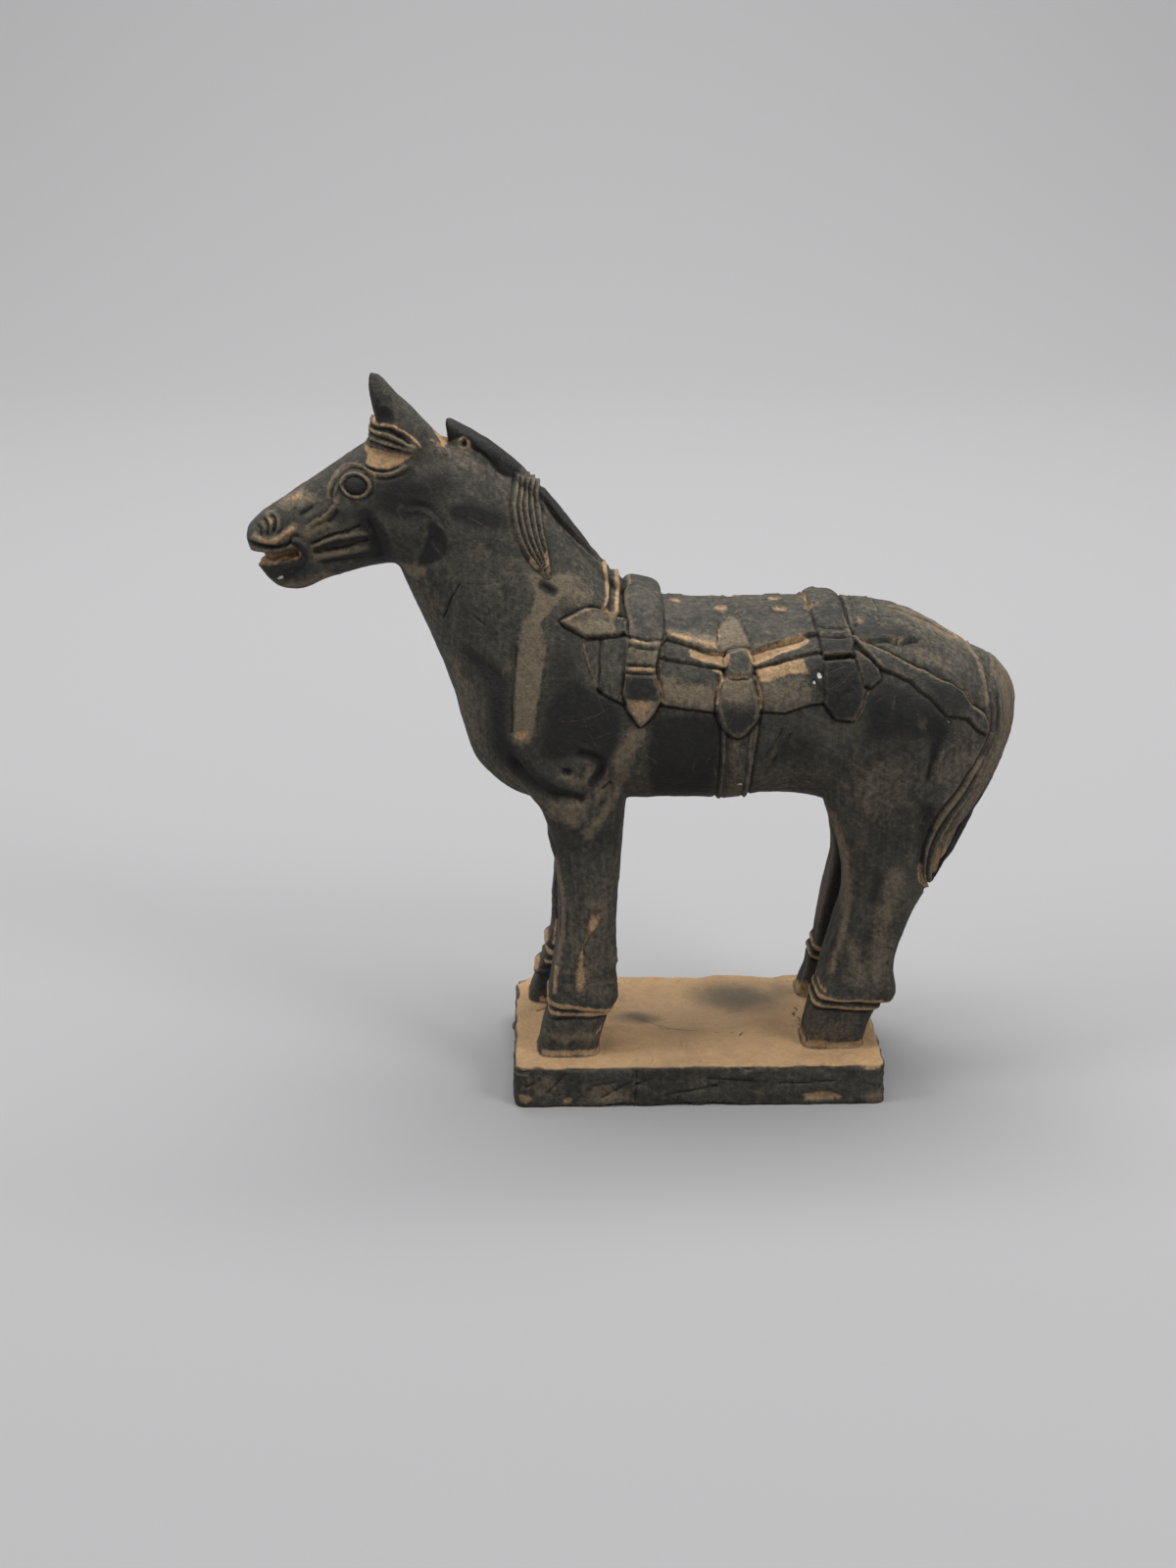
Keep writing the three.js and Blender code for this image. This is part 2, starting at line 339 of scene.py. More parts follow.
class Mark:
    """Anything raised or cut, worked out as a height over the bare surface."""

    def relief(self, skin: Skin) -> Array:
        """The mark's own height at every point."""
        raise NotImplementedError

    def press(self, skin: Skin, height: Array, ground: Array) -> Array:
        """Adds the mark to what is carved so far.

        Args:
            skin: the bare surface.
            height: the height carved so far.
            ground: the height before any carving.

        Returns:
            The new height.
        """
        return height + self.relief(skin)


@dataclass(frozen=True)
class Line(Mark):
    """A cut or raised line.

    Its height falls off as exp(-(distance/width)^2), and on either side, two widths away, the
    clay is pushed the other way by a share of it. The line fades at its ends.
    """

    path: Points
    height: float
    width: float
    side: Side = Side.BOTH
    fade: float = 0.1
    burr: float = 0.3

    def relief(self, skin: Skin) -> Array:
        """The line's height over the bare surface."""
        out = np.zeros(len(skin.points))
        line = curve_through(self.path)
        for side in flanks(self.side):
            close, gap, along = skin.near_line(line, side, 4.0 * self.width)
            ends = step(0.0, self.fade, along) * step(1.0, 1.0 - self.fade, along)
            ratio = gap / self.width
            form = np.exp(-ratio**2) - self.burr * np.exp(-((ratio - 2.0) / 0.8) ** 2)
            lift = self.height * form * ends * skin.wear[close]
            out[close] = np.where(np.abs(lift) > np.abs(out[close]), lift, out[close])
        return out


@dataclass(frozen=True)
class Plate(Mark):
    """A plate such as a strap, level inside its outline, with a cut line just outside.

    Its height is below zero for a sunk one.
    """

    outline: Points
    height: float
    edge: float = 0.26
    cut: float = 0.35
    side: Side = Side.BOTH
    curved: bool = False
    over: bool = False

    def distance(self, skin: Skin) -> tuple[Array, Array]:
        """The numbers of the places near the plate, and their distances to its outline."""
        corners = closed_curve(self.outline) if self.curved else np.asarray(self.outline, float)
        close = skin.within(corners, 2.5)
        return close, outline_distance(skin.flat[close], corners)

    def press(self, skin: Skin, height: Array, ground: Array) -> Array:
        """Adds the plate, which first hides what is carved beneath it if it lies over it."""
        if self.over:
            close, gap = self.distance(skin)
            hidden = np.zeros(len(height))
            hidden[close] = step(self.edge + 0.2, -self.edge, gap)
            hidden *= skin.side_weight(self.side)
            height = height + hidden * (ground - height)
        return height + self.relief(skin)

    def relief(self, skin: Skin) -> Array:
        """The plate's height, its worn rim and its cut line's depth outside it."""
        close, gap = self.distance(skin)
        lift = self.height * step(self.edge, -self.edge, gap)
        rim = 0.14 * self.height * np.exp(-(((gap + 0.6) / 0.45) ** 2))
        groove = self.cut * np.exp(-(((gap - self.edge - 0.1) / 0.28) ** 2)) * skin.wear[close]
        out = np.zeros(len(skin.points))
        out[close] = lift + rim - groove
        return out * skin.side_weight(self.side)


@dataclass(frozen=True)
class Mound(Mark):
    """A soft swelling or hollow: height times exp(-r^2) over an oval in the side view."""

    centre: tuple[float, float]
    size: tuple[float, float]
    height: float
    turn: float = 0.0
    side: Side = Side.BOTH

    def relief(self, skin: Skin) -> Array:
        """The swelling's height."""
        turn = math.radians(self.turn)
        d = skin.flat - np.array(self.centre)
        u = (d[:, 0] * math.cos(turn) + d[:, 1] * math.sin(turn)) / self.size[0]
        v = (d[:, 1] * math.cos(turn) - d[:, 0] * math.sin(turn)) / self.size[1]
        return self.height * np.exp(-(u * u + v * v)) * skin.side_weight(self.side)


@dataclass(frozen=True)
class Stud(Mark):
    """A small round boss with a rim: a ring raised at its radius round a pit."""

    centre: tuple[float, float, float]
    radius: float
    rim: float
    pit: float

    def relief(self, skin: Skin) -> Array:
        """The rim's height less the pit's depth, both falling off with distance."""
        gap = np.linalg.norm(skin.wavy - np.array(self.centre), axis=1)
        rim = self.rim * np.exp(-(((gap - self.radius) / (0.3 * self.radius)) ** 2))
        return rim - self.pit * np.exp(-((gap / (0.6 * self.radius)) ** 2))


@dataclass(frozen=True)
class Hair(Mark):
    """A lock of hair between two lines: a raised strip cut into ribs that follow the lines.

    A place's share across the lock is its distance to the first line over the sum of both
    distances, with a slight waver along the lock. The ribs are the absolute sine of that share
    times their number, to the power 1.3, and they rise from nothing between two shares of the
    lines' length.
    """

    first: Points
    second: Points
    strands: int
    lift: float
    depth: float
    rise: tuple[float, float] = (-0.2, -0.1)
    edge: float = 0.3
    side: Side = Side.BOTH

    def relief(self, skin: Skin) -> Array:
        """The lock's height with its ribs."""
        first = curve_through(self.first, 0.8)
        second = curve_through(self.second, 0.8)
        border = np.vstack([first, second[::-1]])
        near = skin.within(border, 2.0)
        gap = outline_distance(skin.flat[near], border)
        place = skin.points[near][:, [0, 2]] + 0.35 * (skin.flat[near] - skin.points[near][:, [0, 2]])
        a, along = line_distance(place, first)
        b, _ = line_distance(place, second)
        share = a / np.maximum(a + b, 1e-6)
        share = share + 0.02 * np.sin(9.0 * along)
        ribs = np.abs(np.sin(math.pi * self.strands * share)) ** 1.3
        grown = step(self.rise[0], self.rise[1], along)
        inside = step(0.3, -0.3, gap)
        groove = self.edge * np.exp(-(((gap - 0.45) / 0.35) ** 2)) * np.maximum(grown, 0.25)
        out = np.zeros(len(skin.points))
        out[near] = inside * (self.lift - self.depth * (1.0 - ribs) * grown) - groove
        return out * skin.side_weight(self.side)


@dataclass(frozen=True)
class Eye(Mark):
    """A staring eye: a domed ball in a raised oval ring."""

    centre: tuple[float, float] = (-83.1, 157.4)
    ring: tuple[float, float] = (3.35, 2.6)
    ball_centre: tuple[float, float] = (-83.5, 157.4)
    ball: float = 0.55
    rim: float = 0.55

    def relief(self, skin: Skin) -> Array:
        """Height over the socket, by the oval's own radius r, 1 on the ring."""
        flat = skin.points[:, [0, 2]]
        d = (flat - np.array(self.centre)) / np.array(self.ring)
        r = np.hypot(d[:, 0], d[:, 1])
        e = (flat - np.array(self.ball_centre)) / np.array(self.ring)
        q = np.hypot(e[:, 0], e[:, 1])
        rim = self.rim * np.exp(-(((r - 1.0) / 0.12) ** 2))
        groove = 0.45 * np.exp(-(((r - 0.8) / 0.1) ** 2))
        outer = 0.3 * np.exp(-(((r - 1.22) / 0.1) ** 2))
        ball = self.ball * np.sqrt(np.clip(1.0 - (q / 0.74) ** 2, 0.0, 1.0))
        return np.where(np.abs(skin.points[:, 1]) > 2.0, rim + ball - groove - outer, 0.0)


@dataclass(frozen=True)
class Band(Mark):
    """A level ring round the legs between two x limits: raised or cut by exp(-(dz/width)^2)."""

    front: float
    rear: float
    level: float
    slope: float
    height: float
    width: float

    def relief(self, skin: Skin) -> Array:
        """The band's height."""
        x, z = skin.flat.T
        level = self.level + self.slope * (x - (self.front + self.rear) / 2)
        inside = step(self.front - 4, self.front - 1, x) * step(self.rear + 4, self.rear + 1, x)
        return self.height * np.exp(-(((z - level) / self.width) ** 2)) * inside * skin.wear


@dataclass(frozen=True)
class Stain:
    """A patch of another finish.

    Its cover is a half on its outline and runs evenly to nothing and to one over the given
    breadth on either side, so that the material can draw its ragged edge.
    """

    tint: Tint
    outline: Points
    amount: float = 1.0
    soft: float = 1.0
    side: Side = Side.BOTH

    def cover(self, skin: Skin) -> Array:
        """How much of the finish shows, from 0 to amount."""
        border = closed_curve(self.outline, COVER_PITCH)
        close = skin.within(border, self.soft + 0.5)
        gap = outline_distance(skin.flat[close], border)
        even = np.zeros(len(skin.points))
        even[close] = np.clip(0.5 - gap / (2.0 * self.soft), 0.0, 1.0)
        return self.amount * even * skin.side_weight(self.side)


@dataclass(frozen=True)
class Smear:
    """A patch of another finish along a line, with a cover of a half at its width."""

    tint: Tint
    path: Points
    width: float
    amount: float = 1.0
    side: Side = Side.BOTH

    def cover(self, skin: Skin) -> Array:
        """How much of the finish shows, falling evenly from amount to 0 at twice the width."""
        line = curve_through(self.path, COVER_PITCH)
        close = skin.within(line, 2.0 * self.width)
        gap, _ = line_distance(skin.flat[close], line)
        even = np.zeros(len(skin.points))
        even[close] = np.clip(1.0 - gap / (2.0 * self.width), 0.0, 1.0)
        return self.amount * even * skin.side_weight(self.side)


@dataclass(frozen=True)
class Spot:
    """A soft oval cloud of another finish about a place, fading as exp(-r^2)."""

    tint: Tint
    centre: tuple[float, float, float]
    size: tuple[float, float, float]
    amount: float = 1.0

    def cover(self, skin: Skin) -> Array:
        """How much of the finish shows."""
        r = np.linalg.norm((skin.wavy - np.array(self.centre)) / np.array(self.size), axis=1)
        return self.amount * np.exp(-r**2)


@dataclass(frozen=True)
class PaintedShadeBetweenLegs:
    """Painted shade on the sides of the legs that face each other, laid on with the smoky finish."""

    tint: Tint
    amount: float

    def cover(self, skin: Skin) -> Array:
        """How much shows, most near the middle plane and below the belly."""
        _, y, z = skin.points.T
        return self.amount * step(17.0, 7.0, np.abs(y)) * step(84.0, 68.0, z) * step(11.5, 16.0, z)


def ring_skin(centre: Array, across: Array, aside: Array, power: Any, narrow: Array, sides: int
              ) -> tuple[Array, list[tuple[int, ...]]]:
    """Lays a closed skin over a row of rings.

    A ring's point at angle a is centre + across * c + aside * s * (1 - narrow * c), where c
    and s are the cosine and sine of a raised to 2/power with their signs kept.

    Args:
        centre: each ring's middle.
        across: each ring's first half axis.
        aside: each ring's second half axis.
        power: 2 for an oval, more for a squarer ring.
        narrow: how much narrower each ring is towards its first axis.
        sides: points on a ring.

    Returns:
        The points, and the faces with both ends closed.
    """
    angle = np.linspace(0.0, 2.0 * math.pi, sides, endpoint=False)[None, :]
    root = 2.0 / np.broadcast_to(np.asarray(power, float), len(centre))[:, None]
    c = np.sign(np.cos(angle)) * np.abs(np.cos(angle)) ** root
    s = np.sign(np.sin(angle)) * np.abs(np.sin(angle)) ** root
    width = s * (1.0 - narrow[:, None] * c)
    points = centre[:, None] + across[:, None] * c[..., None] + aside[:, None] * width[..., None]
    rings = len(centre)
    j = np.arange(sides)
    i = np.arange(rings - 1)[:, None] * sides
    k = (j + 1) % sides
    quads = np.stack([i + j, i + sides + j, i + sides + k, i + k], axis=-1).reshape(-1, 4)
    flat = points.reshape(-1, 3)
    first, last = len(flat), len(flat) + 1
    flat = np.vstack([flat, centre[:1], centre[-1:]])
    end = (rings - 1) * sides
    caps = [(first, int(a), int(b)) for a, b in zip(j, k)]
    caps += [(last, int(end + b), int(end + a)) for a, b in zip(j, k)]
    return flat, [tuple(q) for q in quads.tolist()] + caps


@dataclass
class Mass:
    """One swelling mass of the animal, as a row of sections."""

    rows: Points
    power: float = 2.3
    steps: int = 8
    sides: int = 72

    def build(self) -> tuple[Array, list[tuple[int, ...]]]:
        """The mass's points and faces."""
        raise NotImplementedError

    def finer(self) -> Array:
        """The sections cut finer."""
        rows = np.asarray(self.rows, float)
        return blend_rows(rows, (len(rows) - 1) * self.steps + 1)


@dataclass
class Ladder(Mass):
    """A mass between a top and a bottom outline seen from the side.

    A section is [top x, top z, bottom x, bottom z, half width, narrowing at the top].
    """

    def build(self) -> tuple[Array, list[tuple[int, ...]]]:
        """Rings that stand on the line from the bottom outline to the top one."""
        r = self.finer()
        zero = np.zeros(len(r))
        centre = np.stack([(r[:, 0] + r[:, 2]) / 2, zero, (r[:, 1] + r[:, 3]) / 2], axis=1)
        across = np.stack([(r[:, 0] - r[:, 2]) / 2, zero, (r[:, 1] - r[:, 3]) / 2], axis=1)
        aside = np.stack([zero, r[:, 4], zero], axis=1)
        return ring_skin(centre, across, aside, self.power, r[:, 5], self.sides)


@dataclass(frozen=True)
class Foot:
    """How a leg ends: the shift of its front edge, its limits across the plinth, and its toe."""

    lean: float
    inner: float
    outer: float
    toe: float = 0.0


@dataclass
class Column(Mass):
    """A mass of level rings, such as an ear or the tail.

    A section is [height, front x, rear x, inner y, outer y], from the top down.
    """

    side: int = 1
    square: float = 0.0

    def rings(self) -> Array:
        """The sections cut finer."""
        return self.finer()

    def build(self) -> tuple[Array, list[tuple[int, ...]]]:
        """Level rings, squarer towards the last one by square."""
        r = self.rings()
        zero = np.zeros(len(r))
        centre = np.stack([(r[:, 1] + r[:, 2]) / 2, self.side * (r[:, 3] + r[:, 4]) / 2, r[:, 0]], axis=1)
        across = np.stack([(r[:, 2] - r[:, 1]) / 2, zero, zero], axis=1)
        aside = np.stack([zero, (r[:, 4] - r[:, 3]) / 2, zero], axis=1)
        power = self.power + self.square * step(0.25, 0.7, np.linspace(0.0, 1.0, len(r)))
        return ring_skin(centre, across, aside, power, zero, self.sides)


@dataclass
class Leg(Column):
    """A leg whose rings below the knee move step by step to the place of its own foot."""

    foot: Foot = Foot(0.0, 6.0, 20.0)
    knee: float = 66.0
    inner: float = 5.5
    outer: float = 21.5

    def rings(self) -> Array:
        """The sections, moved by the foot's shifts times the share of the way down."""
        r = np.array(self.rows, float)
        foot = self.foot
        drop = np.clip((self.knee - r[:, 0]) / (self.knee - PLINTH_HEIGHT), 0.0, None)
        r[:, 1] += foot.lean * drop
        r[-1, 1] += foot.toe
        r[:, 3] += (foot.inner - self.inner) * drop
        r[:, 4] += (foot.outer - self.outer) * drop
        return blend_rows(r, (len(r) - 1) * self.steps + 1)


@dataclass
class Hoop(Mass):
    """A roll laid over the back: upright rings whose lower half sinks in the barrel.

    A section is [x, top z, half width].
    """

    middle: float = 106.0
    spread: float = -0.05

    def build(self) -> tuple[Array, list[tuple[int, ...]]]:
        """Rings about the middle height, a little wider above it than below."""
        r = self.finer()
        zero = np.zeros(len(r))
        centre = np.stack([r[:, 0], zero, zero + self.middle], axis=1)
        across = np.stack([zero, zero, r[:, 1] - self.middle], axis=1)
        aside = np.stack([zero, r[:, 2], zero], axis=1)
        return ring_skin(centre, across, aside, self.power, zero + self.spread, self.sides)


class Part:
    """A sub-assembly of the figure: its masses, its carving and its patches of finish."""

    name = "part"

    def masses(self) -> list[Mass]:
        """The swelling masses, if any."""
        return []

    def carving(self) -> list[Any]:
        """Everything raised or cut."""
        return []

    def patches(self) -> list[Any]:
        """Patches of another finish."""
        return []


@dataclass
class Trunk(Part):
    """Neck, chest, barrel and croup."""

    name = "trunk"
    back: float = 123.9
    belly: float = 76.6
    half: float = 24.5

    def masses(self) -> list[Mass]:
        """The trunk in one run from inside the head to the dock."""
        b, v, w = self.back, self.belly, self.half
        return [Ladder([
            [-68, 165.5, -75.6, 141, 8.5, 0.04],
            [-61, 166, -73, 133.5, 11, 0.08],
            [-54, 163.2, -69.8, 126, 12.8, 0.1],
            [-46, 157.5, -66.4, 118.5, 14.6, 0.12],
            [-38, 149.8, -63.4, 111, 16.8, 0.12],
            [-30, 140.5, -60.6, 103, 19.2, 0.1],
            [-23, 132, -58.8, 95, 21.4, 0.08],
            [-16, 127, -55.8, 86.5, 23, 0.05],
            [-8, b + 0.6, -48, 79, 23.8, 0.02],
            [1, b, -36, 75.2, w - 0.3, 0],
            [10, b, -18, v, w, 0],
            [20, b, 2, v, w, 0],
            [30, b + 0.6, 20, v + 0.9, w, 0],
            [41, b + 0.6, 33, 74.6, w + 0.3, 0],
            [52, 121.8, 45, 68, w, 0],
            [62, 116.6, 55, 63, 23, 0],
            [70, 111.2, 63, 66, 19.5, 0],
            [75, 105.6, 70, 76, 14, 0],
            [77.6, 99, 75, 86, 6, 0],
        ], power=2.35)]

    def carving(self) -> list[Any]:
        """Shoulder, elbow, flank and hip, and the cracks and scratches in the clay."""
        near = Side.NEAR
        scored = [([-60.7, 131], [-52.6, 124.8]), ([-59.1, 129.2], [-47.8, 121.8]),
                  ([-56, 131], [-45, 124]), ([-43.5, 122], [-39.2, 118.3]),
                  ([-41.3, 123.6], [-38.6, 120.4]),
                  ([-45.7, 113.4], [-41.4, 105.9]), ([-44.8, 118.2], [-39.5, 111.4]),
                  ([-46, 110], [-42.6, 103.4]), ([-44.6, 120.4], [-39.4, 115])]
        return [
            Mound((-34, 92), (9.5, 8), 1.2),
            Mound((-31.7, 89.4), (3.6, 3.2), 0.7),
            Mound((-33.4, 90), (1.3, 1.1), -1.1),
            Line([[-31.6, 95.2], [-26.3, 93.2], [-25.4, 90], [-27.4, 86.8]], -0.9, 0.9),
            Line([[-47.4, 93], [-44, 88.6], [-40, 85], [-36, 83], [-32.8, 82.6], [-28.4, 82]], -1.0, 1.3),
            Line([[-25, 84.8], [-22.6, 86.6]], -0.5, 0.5),
            Mound((-53, 104), (7, 14), 0.9, turn=20),
            Line([[-57, 119], [-52.6, 115.5], [-48, 110], [-47.4, 103], [-47.4, 97]], -0.45, 1.8, fade=0.3),
            Line([[-38.3, 127.4], [-39.9, 125.1], [-38.3, 121.4], [-38.4, 118.9], [-39.5, 113.6],
                  [-40.9, 104.6], [-42, 98.4]], 0.3, 0.35, near),
            Line([[-45.5, 121], [-46, 114], [-46.6, 105], [-46.6, 98]], -0.4, 0.6, near),
            Mound((-51, 139), (7, 9), -0.5, turn=-40),
            Mound((50, 97), (11, 15), 0.9, turn=-15),
            Mound((56.2, 98.2), (3.0, 2.6), -1.0),
            Line([[57.4, 98], [55.8, 94], [54.4, 90], [54, 84]], -0.7, 1.0, fade=0.25),
            Line([[52.2, 86], [51, 75.4], [51, 67.4], [52.2, 57]], 0.3, 0.9, fade=0.3),
            Mound((55, 76), (2.6, 6), -0.7, turn=14),
            Mound((24, 88), (7, 9), -0.5),
            Line([[-58.4, 135], [-59.6, 132.7], [-61, 130.5], [-62.2, 127.3], [-63.3, 124.9]],
                 -0.5, 0.3, near),
            Line([[-58.6, 134.6], [-53, 134.4], [-48, 135.6]], -0.16, 0.26, near),
            Mound((-38.6, 134.2), (1.2, 0.8), -0.8, turn=-25, side=near),
            Mound((-36.9, 133), (1.2, 0.8), -0.9, turn=-25, side=near),
            Line([[18.6, 101], [16.6, 97], [14.2, 92.7]], -0.3, 0.5, near),
            Line([[20.6, 100], [18.4, 95], [16.2, 91]], -0.25, 0.45, near),
            Line([[17.9, 95.9], [16, 91], [14.1, 86.7]], -0.3, 0.5, near),
            Line([[24, 97], [22, 92], [21.4, 88]], -0.2, 0.45, near),
            Line([[18.4, 85.6], [19.6, 86.5], [20.4, 85.4], [19.5, 83.6]], 0.3, 0.3, near),
            Line([[-58.7, 108.4], [-57, 110.1], [-54.8, 108.4], [-54.6, 106.4]], 0.2, 0.4, near),
            *[Line([a, b], -0.16, 0.2, near, fade=0.3, burr=0.5) for a, b in scored],
        ]

    def patches(self) -> list[Any]:
        """Dirt bands on the shoulder, dark smoke on neck, belly and hip."""
        near = Side.NEAR
        return [
            Stain(Tint.DUST, [[-43, 137.6], [-35.8, 136.4], [-31.3, 135.6], [-33.1, 131.8], [-35.8, 129.3],
                              [-38, 127.2], [-39.7, 125.1], [-38.6, 122], [-38.4, 118.9], [-39.5, 113.6],
                              [-40.1, 109.3], [-41.2, 102.6], [-42, 98.5], [-43.7, 96.4], [-46.2, 96.9],
                              [-46.4, 101.1], [-45.8, 108.5], [-45.4, 115.5], [-44.8, 121.9],
                              [-43.4, 125.7], [-41.2, 129.8], [-40.9, 133.4]], 1.0, 0.8, near),
            Stain(Tint.BARE, [[-45.6, 100], [-42.4, 100.4], [-42.6, 98], [-43.8, 96.8], [-45.7, 97.3]],
                  0.7, 1.2, near),
            Stain(Tint.DUST, [[-19.5, 101], [-14.4, 102.4], [-18.6, 89.7], [-21.8, 80.2], [-25.7, 74.1],
                              [-27.9, 70.6], [-30, 73.6], [-27.3, 77.3], [-23.5, 82.3], [-22.2, 88.4],
                              [-22.5, 93.5]], 0.8, 1.6, near),
            Stain(Tint.DUST, [[-40, 81.5], [-32.8, 82.4], [-22.9, 84.1], [-21.8, 83.2], [-27.3, 79.7],
                              [-29.5, 75.7], [-36.2, 75.3]], 0.72, 2.2),
            Stain(Tint.DUST, [[-47, 141], [-40, 137], [-30, 136.4], [-26, 131], [-24, 127], [-31, 128],
                              [-35, 130.4], [-38, 133]], 0.6, 2.5),
            Smear(Tint.DUST, [[-34, 88.4], [-31, 87.2], [-28.4, 88], [-28, 90.4]], 1.1, 0.9, near),
            Smear(Tint.DUST, [[-26, 83.6], [-23.8, 86.4]], 1.1, 0.8, near),
            Stain(Tint.DUST, [[32.5, 95.6], [39.1, 95.2], [46.1, 95.4], [51.6, 93], [53, 87.1],
                              [51.7, 81.4], [45, 73.5], [37.4, 74.2], [32.6, 82.8]], 0.42, 5.0),
            Stain(Tint.DUST, [[-62, 120], [-56, 112], [-54, 102], [-50, 91], [-44, 84], [-50, 84],
                              [-58, 96], [-62, 108]], 0.5, 4),
            Spot(Tint.DUST, (-66, -8, 130), (6, 20, 8), 0.4),
            Spot(Tint.DUST, (-17, -6, 90), (5, 30, 7), 0.35),
            Spot(Tint.DUST, (52, 0, 118), (26, 17, 12), 0.5),
            Spot(Tint.DUST, (10, 0, 126), (26, 15, 4), 0.42),
            Spot(Tint.DUST, (26, 0, 86), (14, 40, 12), 0.34),
            Spot(Tint.DUST, (62, -18, 92), (8, 14, 10), 0.45),
            Spot(Tint.DUST, (-12, 0, 100), (150, 60, 300), 0.2),
            Stain(Tint.SOOT, [[-12.6, 103.6], [1.6, 103.2], [2.6, 88], [0, 80], [-11, 80], [-14, 92]],
                  1.0, 1.6),
            Spot(Tint.SOOT, (-6, -20, 92), (8, 12, 9), 0.9),
            Stain(Tint.SOOT, [[-38.2, 106], [-32.8, 112.5], [-27.4, 109.8], [-22, 107.2], [-20.4, 102.8],
                              [-21.3, 97.1], [-23.6, 94.7], [-25.7, 92.9], [-30.6, 95.3], [-36.1, 93.3],
                              [-39.4, 96.9]], 1.1, 3.2),
            Stain(Tint.SOOT, [[-31, 100], [-26, 101], [-22.6, 96], [-24.6, 90], [-27, 93], [-31, 96],
                              [-36, 94.4]], 1.0, 1.4, near),
            Spot(Tint.SOOT, (-34, -22, 116), (6, 12, 6), 0.6),
            Smear(Tint.SOOT, [[-33.6, 90], [-33.2, 90]], 1.0, 1.1, near),
            Smear(Tint.SOOT, [[-30.6, 94.8], [-26.4, 93], [-25.8, 89.6], [-27.6, 87]], 1.0, 1.1, near),
            Stain(Tint.SOOT, [[-58.1, 120.9], [-52.7, 117.2], [-47.9, 112.7], [-47.2, 105.6], [-47, 96.8],
                              [-42.6, 92.9], [-38.3, 88.5], [-32.8, 85.1], [-29, 83], [-37.2, 82.8],
                              [-43.8, 85.6], [-49.3, 90.8], [-51.8, 96.1], [-52.4, 107.8],
                              [-54.8, 113.5], [-58.2, 116.3]], 0.9, 2.0),
            Stain(Tint.SOOT, [[38.1, 108.7], [43.5, 111.3], [51.1, 108.1], [56.1, 104.1], [57.8, 101.3],
                              [55.7, 97.6], [45.9, 98.3], [38.9, 98.8]], 0.9, 2.6),
            Stain(Tint.SOOT, [[53.8, 101.6], [57.4, 101.2], [58.8, 98.6], [56.6, 94.2], [54.8, 90],
                              [53.9, 94.6]], 1.0, 1.2),
            Smear(Tint.SOOT, [[54.8, 91], [54.2, 87.6]], 0.5, 0.9),
            Stain(Tint.SOOT, [[52.4, 81], [56.7, 79.8], [56, 75.2], [54.1, 69.8], [52.4, 72.3]], 0.85, 1.4),
            Smear(Tint.SOOT, [[43.8, 60.6], [43.1, 53.7]], 1.8, 0.7),
            Spot(Tint.SOOT, (24, -22, 96), (6, 12, 8), 0.55),
            Spot(Tint.SOOT, (-52, -14, 128), (8, 14, 7), 0.35),
            Spot(Tint.SOOT, (-60, -8, 143), (7, 14, 6), 0.45),
            Stain(Tint.SOOT, [[-60.7, 151.9], [-56.8, 152.6], [-52.3, 151.4], [-47.9, 148.8],
                              [-52.4, 148.3], [-57.3, 149], [-59.8, 149.8]], 1.4, 2.2),
            Smear(Tint.SOOT, [[-38.9, 134.3], [-36.4, 132.6]], 1.1, 1.1, near),
        ]


